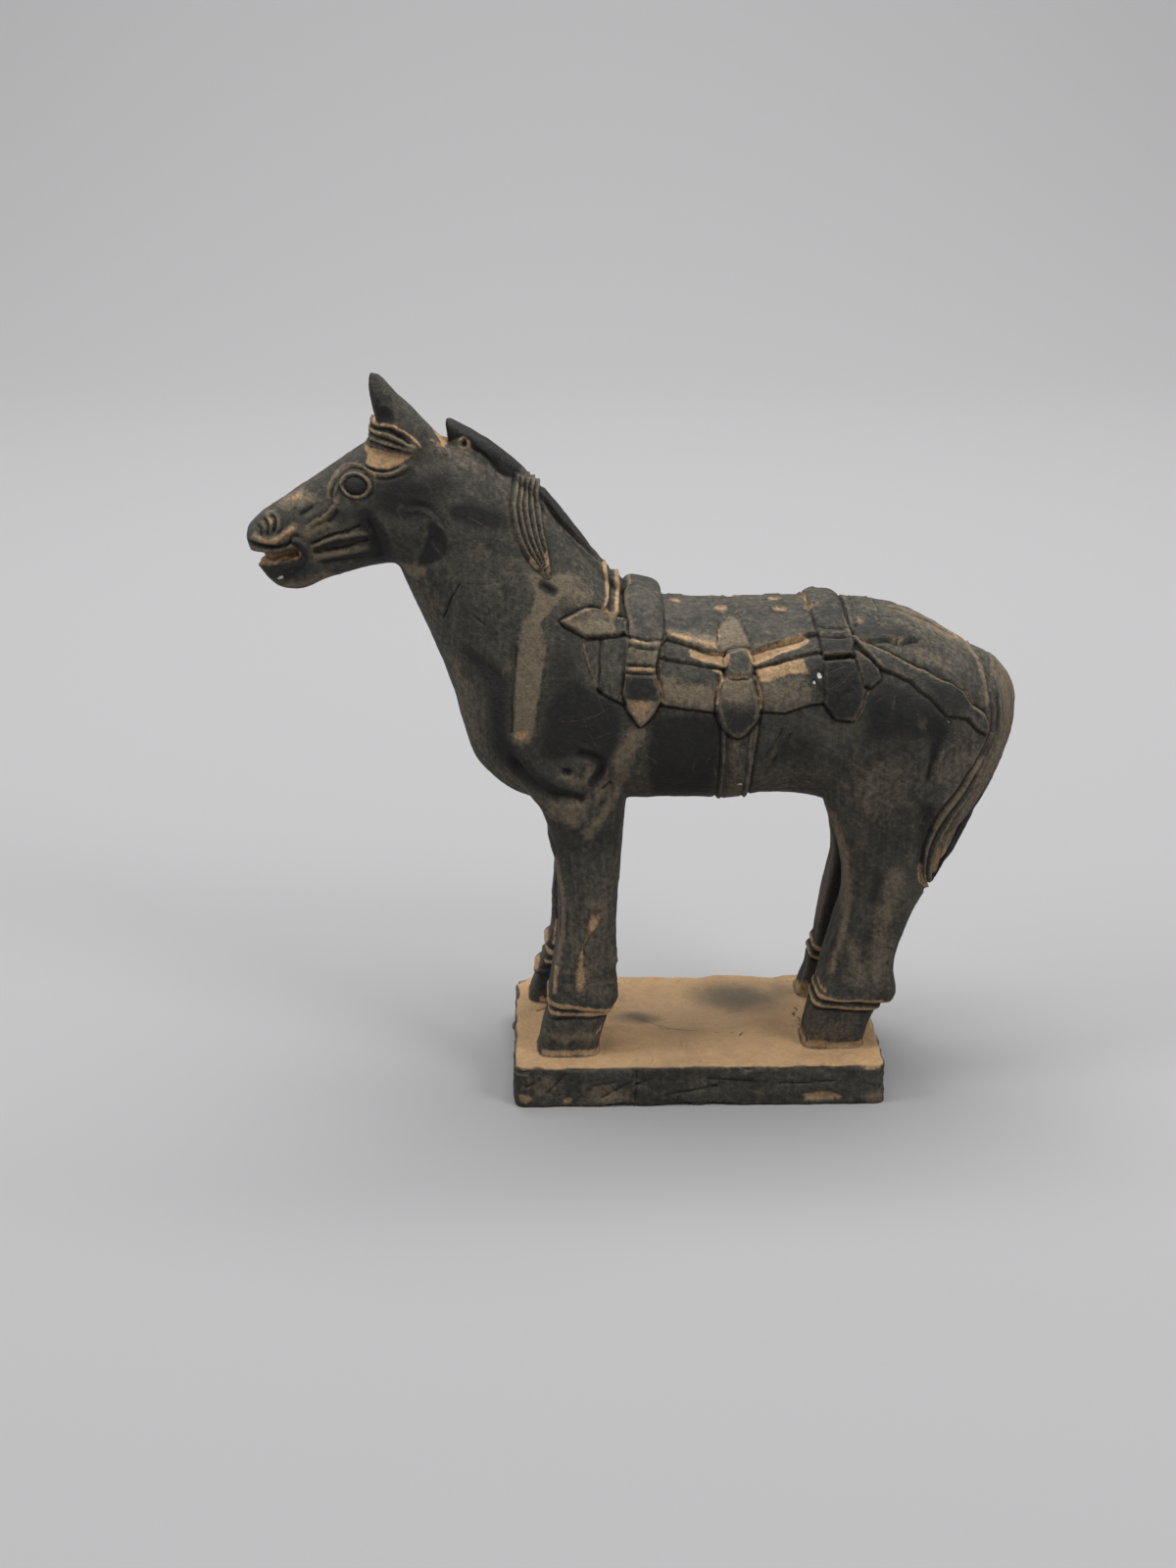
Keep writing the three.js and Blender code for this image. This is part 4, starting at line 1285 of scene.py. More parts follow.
    def rump(self) -> list[Any]:
        """The layers behind the cantle, the tongue, the strap to the tail and the small tab."""
        top = self.over
        crupper = [[35.5, 121], [37.5, 119.8], [40.6, 118.7], [43.8, 117.4], [48, 115.2], [52.4, 113.2],
                   [55.1, 111.2], [59.7, 109.4], [62.5, 107.1], [64.2, 104.5], [67.8, 101.8],
                   [69.1, 99.4], [68.8, 96.4], [65.4, 99.2], [63.6, 101.5], [60.7, 102.4],
                   [58.1, 102.8], [56.1, 105], [53.9, 107.2], [51.1, 109.1], [49.2, 111.1],
                   [45.7, 112.8], [41.7, 114.7], [39.5, 117.1], [37.4, 118.5], [35.9, 119.9]]
        return [
            Plate([[33.8, top], [35.2, 124.4], [35, 123], [35.8, 121.6], [36.6, 122.8], [37.3, 124],
                   [37.3, top]], 0.35, cut=0.3),
            Plate([[37.3, top], [37.3, 124], [36.6, 122.8], [38, 122.5], [42.2, 122.6], [42.1, 123.4],
                   [42.6, 124.2], [42.6, top]], 0.25, cut=0.25),
            Line([[42.4, top], [42.6, 124.4], [42.1, 123.4], [43.1, 122.5], [45.5, 122.1], [49, 121.6]],
                 0.42, 0.34, fade=0.02),
            Line([[37.4, top], [37.5, 124.4], [36.7, 122.9]], 0.4, 0.32, fade=0.02),
            Plate([[36.3, 122.3], [41.3, 122.4], [44.6, 121.9], [49.1, 121.2], [51.1, 120], [51.7, 119.1],
                   [49.2, 119.3], [47.4, 119.1], [45.8, 119.4], [44.2, 120], [40.8, 119.9],
                   [38.6, 119.8], [35.9, 120.5]], 0.6, 0.3, 0.35, over=True),
            Mound((46.4, 119.5), (0.6, 0.5), -0.8, side=Side.NEAR),
            Plate(crupper, 0.75, 0.3, 0.5, over=True),
            Line([[37.6, 119.6], [43.8, 117.2], [52.4, 112.9], [59.7, 109], [62.3, 106.8], [64, 104.2],
                  [68.6, 100]], 0.2, 0.34),
            Plate([[35.5, 118.2], [36.6, 114.6], [37.8, 110.9], [39.2, 110.4], [41.9, 112.3], [41.4, 114.5],
                   [39.4, 116.4], [36.8, 117.7]], 0.6, 0.28, 0.4, over=True),
            Mound((58.7, 101.1), (0.7, 0.6), -0.8, side=Side.NEAR),
            Line([[46, 124.4], [50.7, 122.6], [55.8, 120.4], [61, 117.3], [63.8, 115.5], [67, 113.4]],
                 0.5, 0.36, fade=0.03, burr=0.5),
            Line([[48, 122.6], [53, 120.6], [58, 118], [62, 115.6]], 0.3, 0.35, fade=0.3),
            Line([[67.2, 113.2], [68.1, 109.4], [68.9, 106.8], [69.4, 103.4]], 0.5, 0.38),
        ]

    def studs(self) -> list[tuple[tuple[float, float, float], float]]:
        """The seat's round bosses: place and radius."""
        near = [((-6.7, -1.0, 124.6), 1.5), ((4.4, -4.9, 124.2), 1.7), ((7.3, 5.4, 124.2), 1.6),
                ((18.2, 1.8, 124.4), 1.6), ((18.7, -5.6, 124.1), 1.7)]
        far = [((-6.0, 9.0, 123.6), 1.6), ((4.8, 11.5, 122.8), 1.7), ((18.4, 10.6, 123.2), 1.7)]
        return near + far

    def patches(self) -> list[Any]:
        """Bare clay between the layers and at the strap ends."""
        near = Side.NEAR
        flap_tan = [[12, 114.6], [14.8, 114.9], [18.6, 115.8], [22.7, 116.8], [23.8, 114.9], [24.6, 113.5],
                    [20.9, 113.6], [18.5, 113], [14.7, 111.6], [12.8, 111.8]]
        return [
            Stain(Tint.BARE, [[-3.9, 118.5], [0.8, 117.7], [4.9, 117.6], [4.8, 115], [1.7, 115.7],
                              [-3.7, 116.8]], 1.15, 0.6),
            Stain(Tint.BARE, [[9.9, 117.6], [14.5, 118.4], [23.7, 120.5], [24.1, 119], [18.7, 117.5],
                              [13.9, 116], [11, 115.2]], 1.15, 0.6),
            Stain(Tint.DUST, [[-9.3, 121.6], [-2.2, 121], [2.4, 120.2], [2.6, 118.2], [-4.7, 119],
                              [-9.4, 120.2]], 0.85, 0.8),
            Smear(Tint.BARE, [[-8, 120.4], [-2.6, 119.6], [2.4, 118.8]], 0.5, 0.75),
            Stain(Tint.DUST, [[3.2, 122.2], [6.3, 123.2], [7.9, 123.1], [9.2, 121.9], [10.9, 118.4],
                              [9.9, 117.8], [4.7, 118], [3, 118.8]], 0.85, 0.7),
            Smear(Tint.BARE, [[3.4, 121.4], [3.2, 119]], 0.35, 0.7),
            Stain(Tint.BARE, flap_tan, 1.0, 1.1),
            Smear(Tint.BARE, [[11.2, 113.2], [12.3, 111.2], [12.9, 108.7], [13, 105.8]], 0.4, 0.95),
            Smear(Tint.BARE, [[1.8, 114.3], [3.6, 113.8], [3.5, 112.1], [2.7, 110.5], [2.3, 107]],
                  0.4, 0.9),
            Smear(Tint.BARE, [[-12, 113.5], [-11.4, 110.5], [-11, 108.7], [-10.6, 107.2]], 0.4, 0.9),
            Stain(Tint.DUST, [[-11, 113.4], [-4, 111.6], [2, 111], [2.2, 106.2], [-4.9, 106.8],
                              [-10.8, 107.4]], 0.82, 1.4),
            Stain(Tint.DUST, [[13, 112], [20, 112.6], [25, 112], [24.6, 107], [18, 105.8], [13.2, 106]],
                  0.55, 1.6),
            Stain(Tint.DUST, [[4.9, 113.1], [10.3, 112.9], [11, 110.9], [10.5, 108], [7.2, 107.2],
                              [3.6, 108.4], [3.9, 111]], 0.95, 1.0),
            Smear(Tint.BARE, [[5.4, 112.6], [9.8, 112.5]], 0.4, 0.6),
            Stain(Tint.DUST, [[-17.5, 119.6], [-12.7, 119.1], [-13, 116], [-17.6, 116.4]], 0.55, 0.7),
            Smear(Tint.BARE, [[-17.6, 115.2], [-12.9, 114.8]], 0.45, 0.95),
            Smear(Tint.DUST, [[-18, 121], [-11.8, 120.2]], 0.5, 1.0),
            Smear(Tint.BARE, [[-17, 121], [-14, 120.6]], 0.35, 0.65),
            Stain(Tint.DUST, [[-19.4, 108.2], [-11.6, 107.6], [-13.9, 103.6], [-16, 101.6],
                              [-18.6, 105]], 1.0, 0.8),
            Stain(Tint.BARE, [[-18.6, 108], [-12.6, 107.6], [-14.4, 104.4], [-16, 102.4],
                              [-17.8, 105]], 0.66, 1.2),
            Smear(Tint.BARE, [[-21.2, 138], [-21.1, 132], [-20.9, 130], [-21.2, 128.1], [-21.6, 125.9]],
                  0.5, 1.0),
            Smear(Tint.BARE, [[-24.2, 137], [-23.5, 131.6], [-23.5, 129.3], [-24.2, 127.6]], 0.4, 0.85),
            Smear(Tint.BARE, [[-24.4, 127.6], [-22.6, 126.6], [-21.4, 125.9]], 0.45, 0.8),
            Smear(Tint.DUST, [[-18.4, 137], [-18.2, 128], [-18.6, 125]], 0.4, 0.95),
            Stain(Tint.DUST, [[-34.4, 125.7], [-31.6, 127.1], [-29.2, 127.9], [-26.8, 127.7],
                              [-23.5, 126.4], [-22, 125.4], [-21.8, 121.9], [-24.6, 122], [-28.8, 122.2],
                              [-31.1, 123.4]], 0.72, 0.8),
            Smear(Tint.BARE, [[-33.6, 125.6], [-30.6, 127], [-27.8, 127.5]], 0.35, 0.6),
            Smear(Tint.DUST, [[-29.4, 120.4], [-27.9, 115.2], [-26.2, 110.8]], 0.35, 0.8),
            Smear(Tint.DUST, [[-18.2, 121], [-19.1, 114.9], [-20.2, 108.6]], 0.4, 0.85),
            Stain(Tint.BARE, [[37.2, 124], [38.4, 123.7], [39.8, 123.1], [37.6, 122.5], [36.5, 122.6]],
                  0.55, 0.7),
            Stain(Tint.BARE, [[42, 123.5], [43.7, 122.9], [47.1, 122.4], [44.6, 122], [42.1, 122.3]],
                  0.55, 0.7),
            Smear(Tint.BARE, [[47, 124], [55, 120.8], [61, 117.4], [64, 115.4]], 0.35, 0.6),
            Smear(Tint.DUST, [[46, 124.4], [55, 120.8], [61, 117.4], [67, 113.2], [69.2, 104]], 0.6, 1.0),
            Smear(Tint.BARE, [[24.2, 124.8], [26.2, 124.8]], 0.7, 0.8),
            Spot(Tint.BARE, (26.8, -5.6, 124.3), (1.7, 1.7, 1.7), 0.75),
            Smear(Tint.DUST, [[38.5, 109.7], [37.4, 106], [35.5, 102.5]], 0.5, 0.95),
            Smear(Tint.DUST, [[35.6, 117.6], [36.7, 114.4], [37.8, 110.8]], 0.4, 0.85),
            Smear(Tint.DUST, [[36, 120.8], [40.6, 118.9], [48, 115.4], [55.1, 111.4], [60, 109.4],
                              [63, 107], [64.6, 104.6], [68.6, 100.6]], 0.45, 0.9),
            Stain(Tint.DUST, [[38, 119.6], [46, 119], [52, 119.4], [58, 116], [63, 110], [56, 112],
                              [48, 116], [42, 118.6]], 0.5, 3.0),
            Stain(Tint.SOOT, [[28.4, 116.8], [35.3, 116.7], [36.8, 113.4], [37.9, 109.7], [37, 106.4],
                              [34.8, 103], [30, 103.6], [28.3, 107]], 0.76, 0.8),
            Stain(Tint.SOOT, [[28, 120.4], [35.4, 120.2], [35.2, 117.2], [28.4, 117.2]], 0.6, 0.9),
            Stain(Tint.SOOT, [[36.4, 122.3], [41.3, 122.4], [44.6, 121.9], [49.1, 121.2], [51.5, 119.3],
                              [47.4, 119.2], [44.2, 120], [40.8, 120], [36, 120.5]], 0.62, 0.7),
            Stain(Tint.SOOT, [[35.8, 118], [36.6, 114.6], [37.8, 110.9], [39.2, 110.4], [41.9, 112.3],
                              [41.4, 114.5], [39.4, 116.4]], 0.55, 0.8),
            Stain(Tint.SOOT, [[50, 113.4], [55.1, 110.6], [59.7, 108.8], [62.3, 106.8], [63.6, 104.4],
                              [62, 102.8], [58.1, 103.2], [54, 107.4]], 0.66, 1.2),
            Stain(Tint.SOOT, [[-18, 113.6], [-12.9, 113.4], [-12.8, 108.8], [-18.8, 109]], 0.62, 0.8),
            Stain(Tint.SOOT, [[3, 106.4], [7, 105.8], [12, 106.6], [12, 103.1], [9.7, 100.8], [5.9, 99.6],
                              [3.6, 102.4]], 0.66, 1.4),
            Smear(Tint.SOOT, [[24.4, 113.2], [26.4, 112], [27.4, 110.6]], 0.9, 0.95, near),
            Smear(Tint.SOOT, [[3, 101], [3.3, 94], [3.3, 84]], 0.45, 0.7),
            Smear(Tint.DUST, [[7.6, 98], [7.6, 80]], 2.2, 0.5),
            *[Spot(Tint.BARE, place, (1.2 * radius, 1.1 * radius, 1.2 * radius), 0.8)
              for place, radius in self.studs()],
            Smear(Tint.CHIP, [[27, 113.5], [27.2, 113.2]], 0.45, 1.0, near),
            Smear(Tint.CHIP, [[25.7, 111.9], [25.8, 111.7]], 0.25, 1.0, near),
            Smear(Tint.CHIP, [[8.8, 85.6], [9, 85.4]], 0.32, 1.0, near),
            Smear(Tint.DUST, [[8.7, 91.3], [8.9, 90.9]], 0.5, 1.0, near),
            Smear(Tint.CHIP, [[58.2, 101.4], [59, 101.1]], 0.22, 0.75, near),
            Smear(Tint.DUST, [[45.8, 119.6], [47, 119.5]], 0.6, 1.0, near),
        ]


@dataclass
class Tail(Part):
    """The long tail moulded against the hocks."""

    name = "tail"

    def masses(self) -> list[Mass]:
        """The tail's bulk, from the dock down to its point."""
        return [Column([
            [112.4, 62, 70.8, -5, 5],
            [106.6, 64, 76.6, -5.8, 5.8],
            [98, 66, 79.1, -6.2, 6.2],
            [89, 66, 77.6, -6.6, 6.6],
            [79, 60, 74.2, -7, 7],
            [69, 55, 69.6, -6.8, 6.8],
            [60, 54, 65.6, -5.6, 5.6],
            [53.5, 55, 62.2, -3.8, 3.8],
            [50, 57.6, 60.8, -1.6, 1.6],
        ], power=2.3)]

    def carving(self) -> list[Any]:
        """Strands that fan out from the dock and gather at the point."""
        crease = [[69.6, 106], [70.6, 101], [70, 96], [67.2, 90.8], [64.6, 87.6], [62.5, 84.2],
                  [60.5, 81.3], [57.9, 77.6], [55.6, 72.1], [54.3, 66.6], [54.4, 60.8], [57, 53]]
        rear = [[73, 113], [77.8, 106], [80.4, 98], [79.2, 88], [75.6, 78], [70.8, 68.6], [66.4, 60],
                [63, 53.4], [60.6, 49]]
        return [
            Hair(crease, rear, 7, 0.35, 1.0, rise=(-0.05, 0.3), edge=0.45),
            Line(crease, -0.45, 0.5, fade=0.15, burr=0.4),
        ]

    def patches(self) -> list[Any]:
        """Bare clay between the strands near the point."""
        return [
            Smear(Tint.BARE, [[60.6, 74], [59.1, 70], [58.3, 66.3], [57.6, 61]], 0.5, 0.9),
            Smear(Tint.BARE, [[63, 74], [61, 69], [59.8, 62]], 0.4, 0.8),
            Smear(Tint.BARE, [[53.6, 63.6], [54.2, 60], [55.8, 57]], 0.6, 0.95),
            Smear(Tint.DUST, [[70.8, 96], [66.6, 90], [61, 81.6], [56.4, 73.6]], 0.8, 0.95),
            Smear(Tint.DUST, [[74, 92], [68, 82], [62, 72], [58.6, 60]], 2.6, 0.7),
            Spot(Tint.DUST, (76, 0, 98), (8, 16, 20), 1.0),
            Spot(Tint.DUST, (68, 0, 72), (7, 12, 16), 0.5),
            Smear(Tint.SOOT, [[71.8, 105.2], [72, 100.3], [70.6, 95.4], [68.2, 91.2]], 0.7, 0.8),
            Smear(Tint.SOOT, [[54.6, 76], [53.6, 68], [54, 62]], 0.9, 0.7),
        ]


@dataclass
class Legs(Part):
    """The four legs with their fetlock tufts, coronet bands and hooves."""

    name = "legs"
    inner: float = 5.5
    outer: float = 21.5
    flare: float = 0.8

    def masses(self) -> list[Mass]:
        """Near and far legs. The far fore leg's front is stepped by its fetlock tufts."""
        i, o, f = self.inner, self.outer, self.flare
        upper_fore = [
            [92, -48, -20, 3, 22.5], [84, -44.5, -18.5, 3.5, 23], [76, -39.5, -19.2, 4.5, 22.6],
            [66, -37, -19.8, i, o], [54, -35.8, -20.8, i, o], [42, -36, -21.2, i, o],
        ]
        near_fore = upper_fore + [
            [33, -37.4, -21.2, i - 0.3, o + 0.3], [27.6, -38.3, -20.6, i - 0.6, o + f],
            [25.6, -38.3, -21.2, i - 0.5, o + 0.5], [23, -38.2, -23, i, o],
            [18, -39.6, -24.4, i - 0.3, o + 0.2], [10, -41.2, -26, i - 0.6, o + 0.5],
        ]
        far_fore = upper_fore + [
            [34, -35.9, -21.2, i, o], [29.6, -36.4, -21, i, o + 0.3], [28, -37.8, -21, i, o + f],
            [27, -36.8, -21.4, i, o + 0.4], [22.6, -38.1, -23, i, o], [20, -40.4, -24, i, o + 0.5],
            [19, -39.2, -24.2, i, o + 0.2], [14, -40.6, -25, i, o + 0.3], [10, -41.2, -25.8, i, o + f],
        ]
        hind = [
            [98, 26, 70, 2, 22], [88, 27, 69.5, 2.5, 23.8], [80, 29.5, 67, 3, 23.8],
            [72, 32.2, 63.6, 4, 23], [64, 34.8, 60.4, i, 22], [54, 35.8, 55.8, i, o],
            [44, 33.8, 51.8, i, o], [35, 31.6, 49.4, i - 0.3, o + 0.3],
            [27.4, 30.4, 50.2, i - 0.6, o + f], [25.6, 29.8, 49.8, i - 0.5, o + 0.5],
            [23, 28.8, 46.6, i, o], [18, 27.8, 43.8, i - 0.3, o + 0.2], [10, 26.6, 42, i - 0.6, o + 0.5],
        ]
        look = {"power": 2.8, "square": 2.2, "inner": i, "outer": o}
        return [
            Leg(near_fore, side=-1, foot=Foot(0.0, 6.5, 20.8), **look),
            Leg(hind, side=-1, foot=Foot(0.0, 5.5, 17.4), **look),
            Leg(far_fore, side=1, foot=Foot(-2.2, 10.0, 23.0), **look),
            Leg(hind, side=1, foot=Foot(3.6, 12.5, 23.4, -2.6), **look),
        ]

    def carving(self) -> list[Any]:
        """Ridges down the shins, and the bands over the hooves."""
        near = Side.NEAR
        return [
            Line([[-38.4, 72], [-36.3, 65], [-34.8, 56.4], [-34.5, 46.4], [-35.9, 37.5], [-36.8, 29]], 0.6,
                 0.45, fade=0.05, burr=0.15),
            Line([[-36.8, 62], [-36, 54], [-36, 46], [-37.2, 38], [-38, 31]], -0.4, 0.6),
            Line([[-33.4, 54], [-33, 44], [-34, 34]], -0.25, 1.1, fade=0.3),
            Line([[-24, 66], [-23.2, 56], [-24.4, 48], [-23.8, 36]], 0.3, 0.9, fade=0.3),
            Line([[-28.4, 51.4], [-25.6, 48], [-28, 44.6], [-29.2, 40.6], [-28.8, 33], [-29.6, 29.6]],
                 -0.25, 0.34, near),
            Line([[-31.9, 30.4], [-31.7, 38.3], [-29.9, 43.5], [-28.6, 50]], 0.25, 0.4, near),
            Line([[-27, 74], [-26, 66], [-28.6, 58]], -0.3, 0.9, near, fade=0.3),
            Mound((-33, 62), (1.2, 2.4), -0.35, side=near),
            Mound((-24.4, 70), (1.2, 2.6), -0.35, turn=-15, side=near),
            Mound((-21.4, 36.8), (0.8, 0.8), 0.5, side=near),
            Band(-40.5, -21, 25.1, -0.14, 0.5, 0.75),
            Band(-40.5, -21, 24.1, -0.08, -0.35, 0.35),
            Band(-40.5, -21, 23.3, 0.0, 0.35, 0.5),
            Band(-40.5, -21, 21.9, 0.04, -0.55, 0.42),
            Band(26, 51, 25.7, -0.09, 0.6, 0.8),
            Band(26, 51, 24.4, -0.09, -0.4, 0.36),
            Band(26, 51, 23.0, -0.09, 0.5, 0.65),
            Band(26, 51, 21.9, -0.06, -0.5, 0.4),
            Line([[32, 76], [34.6, 68], [36.6, 58], [36, 46], [33.6, 34]], 0.35, 0.9, fade=0.2),
            Line([[44, 62], [43.4, 54], [42, 44]], -0.4, 1.8, fade=0.3),
            Line([[36, 50], [38.6, 42], [40, 34]], -0.25, 1.4, fade=0.3),
        ]

    def patches(self) -> list[Any]:
        """Bare bands at the coronets, streaks down the shins, and painted shade on the legs' facing sides
        and the far hind leg's front.
        """
        near = Side.NEAR
        return [
            Smear(Tint.BARE, [[-38.6, 26.6], [-33.9, 25.6], [-28.4, 24.8], [-22, 24]], 0.62, 1.0),
            Smear(Tint.BARE, [[-38.6, 23.4], [-32.4, 23.3], [-23.4, 23.3]], 0.42, 0.95),
            Smear(Tint.BARE, [[29.4, 26.6], [35.4, 25.7], [41, 25.1], [49, 24.7]], 0.62, 1.0),
            Smear(Tint.BARE, [[28.6, 24], [34, 23.2], [38.8, 22.8], [45, 22.4]], 0.5, 0.95),
            Stain(Tint.BARE, [[-28.4, 51.2], [-24.9, 50.9], [-25.6, 48.1], [-27.9, 44.8], [-29, 40.9],
                              [-28.6, 33.2], [-29.6, 29.8], [-31.7, 30.7], [-31.2, 38.3],
                              [-29.5, 43.5]], 0.7, 1.3, near),
            Smear(Tint.BARE, [[-36, 36], [-36.8, 29]], 0.4, 0.75),
            Smear(Tint.BARE, [[-39.6, 12.4], [-32, 12.6], [-25, 12.2]], 0.8, 0.9),
            Smear(Tint.BARE, [[27, 12.6], [34, 12.2], [42, 12]], 0.9, 0.95),
            Smear(Tint.BARE, [[-24.6, 20], [-26.6, 16.8]], 0.4, 0.8, near),
            Smear(Tint.BARE, [[30, 29], [32, 28.2]], 0.6, 0.9, near),
            Stain(Tint.DUST, [[-35, 56], [-22, 60], [-22, 30], [-34, 29]], 0.45, 5.0),
            Smear(Tint.DUST, [[-36.3, 65], [-34.8, 56.4], [-34.5, 46.4], [-35.9, 37.5], [-36.8, 29.4]],
                  0.5, 1.0),
            Smear(Tint.DUST, [[32, 76], [34.6, 68], [36.4, 58], [35.8, 46], [33.4, 34]], 1.0, 0.8),
            Smear(Tint.DUST, [[48, 60], [45.6, 46], [44.6, 32]], 3.2, 0.62),
            Smear(Tint.DUST, [[38, 40], [40, 31]], 3.0, 0.6),
            Smear(Tint.DUST, [[-38, 17], [-26, 17]], 1.6, 0.7),
            Spot(Tint.DUST, (34, -12, 16), (9, 14, 5), 0.6),
            Spot(Tint.DUST, (-31, -12, 46), (10, 14, 18), 0.52),
            Spot(Tint.DUST, (42, -14, 44), (8, 14, 18), 0.3),
            # Painted shade: the sides of the legs that face each other are darkened with the smoky finish.
            PaintedShadeBetweenLegs(Tint.SOOT, 0.85),
            Spot(Tint.SOOT, (-39, -12, 46), (2.6, 9, 26), 0.8),
            # Painted shade: the far hind leg's front is darkened with the smoky finish.
            Spot(Tint.SOOT, (30, 14, 45), (9, 12, 22), 0.6),
            Spot(Tint.BARE, (-39.6, 16, 28.6), (2.4, 6, 1.6), 0.9),
            Spot(Tint.BARE, (-42, 16, 20.8), (2.4, 6, 1.6), 0.9),
            Spot(Tint.BARE, (29, 10, 14), (5, 6, 3), 0.8),
            Spot(Tint.DUST, (30, 14, 42), (9, 12, 18), 0.45),
        ]


@dataclass
class Plinth(Part):
    """The low rectangular plinth cast with the hooves."""

    name = "plinth"
    length: float = PLINTH_LENGTH
    width: float = PLINTH_WIDTH
    height: float = PLINTH_HEIGHT
    corner: float = 2.6

    def masses(self) -> list[Mass]:
        """The plinth as a block with rounded corners."""
        return [Slab(length=self.length, width=self.width, height=self.height, corner=self.corner)]

    def carving(self) -> list[Any]:
        """Hand-pressed top, chips on the edges and tool marks on the near face."""
        return [PlinthWear()]

    def patches(self) -> list[Any]:
        """Soot settled on the top, and rubbed places on the faces."""
        cloud, bare, dust = Tint.CLOUD, Tint.BARE, Tint.DUST
        return [
            Spot(cloud, (12, 13, 11), (15, 11, 4), 1.0),
            Spot(cloud, (0, 2, 11), (26, 18, 4), 0.45),
            Spot(cloud, (24, 16, 11), (7, 8, 4), 0.7),
            Spot(cloud, (3, 17, 11), (7, 7, 4), 0.5),
            Spot(cloud, (-14, 1, 11), (8, 4, 4), 0.9),
            Spot(cloud, (-2, -6, 11), (12, 5, 4), 0.5),
            Spot(cloud, (-8, -4, 11), (4, 4, 4), 0.5),
            Spot(cloud, (-44, 8, 11), (5, 20, 3), 0.35),
            Spot(cloud, (-30, 0, 11), (8, 8, 3), 0.45),
            Spot(cloud, (36, 4, 11), (9, 8, 3), 0.4),
            Spot(bare, (31, -27, 2.4), (5.5, 1.6, 1.4), 1.0),
            Spot(bare, (-44.6, -27, 2.6), (2.2, 1.6, 1.8), 0.8),
            Spot(bare, (-33.6, -27, 1.6), (1.6, 1.6, 1.2), 0.8),
            Spot(dust, (-24, -27, 3), (8, 2, 3), 0.7),
            Spot(dust, (45, -27, 2), (3, 2, 2), 0.9),
            Spot(dust, (-40, -27, 6), (6, 2, 4), 0.6),
            Spot(bare, (44, -25.6, 10.8), (3.4, 3, 1.4), 1.0),
        ]


@dataclass
class Slab(Mass):
    """A block with rounded upright corners and a slightly softened top edge."""

    rows: Points = field(default_factory=list)
    length: float = PLINTH_LENGTH
    width: float = PLINTH_WIDTH
    height: float = PLINTH_HEIGHT
    corner: float = 2.6
    soft: float = 0.5
    turns: int = 48

    def build(self) -> tuple[Array, list[tuple[int, ...]]]:
        """Four level rings, of which the top one is drawn in by the edge's softness."""
        soft = self.soft
        turns = np.linspace(0.0, 2.0 * math.pi, self.turns, endpoint=False)
        corner_x = np.sign(np.cos(turns + 1e-3)) * (self.length / 2 - self.corner)
        corner_y = np.sign(np.sin(turns + 1e-3)) * (self.width / 2 - self.corner)
        rings = []
        for level, inset in ((0.0, 0.0), (soft, 0.0), (self.height - soft, 0.0), (self.height, soft)):
            r = self.corner - inset
            rings.append(np.stack([corner_x + r * np.cos(turns), corner_y + r * np.sin(turns),
                                   np.full(len(turns), level)], axis=1))
        n = len(turns)
        flat = np.vstack(rings)
        flat = np.vstack([flat, [[0.0, 0.0, 0.0], [0.0, 0.0, self.height]]])
        faces: list[tuple[int, ...]] = []
        for i in range(3):
            faces += [(i * n + j, i * n + (j + 1) % n, (i + 1) * n + (j + 1) % n, (i + 1) * n + j)
                      for j in range(n)]
        faces += [(4 * n, (j + 1) % n, j) for j in range(n)]
        faces += [(4 * n + 1, 3 * n + j, 3 * n + (j + 1) % n) for j in range(n)]
        return flat, faces


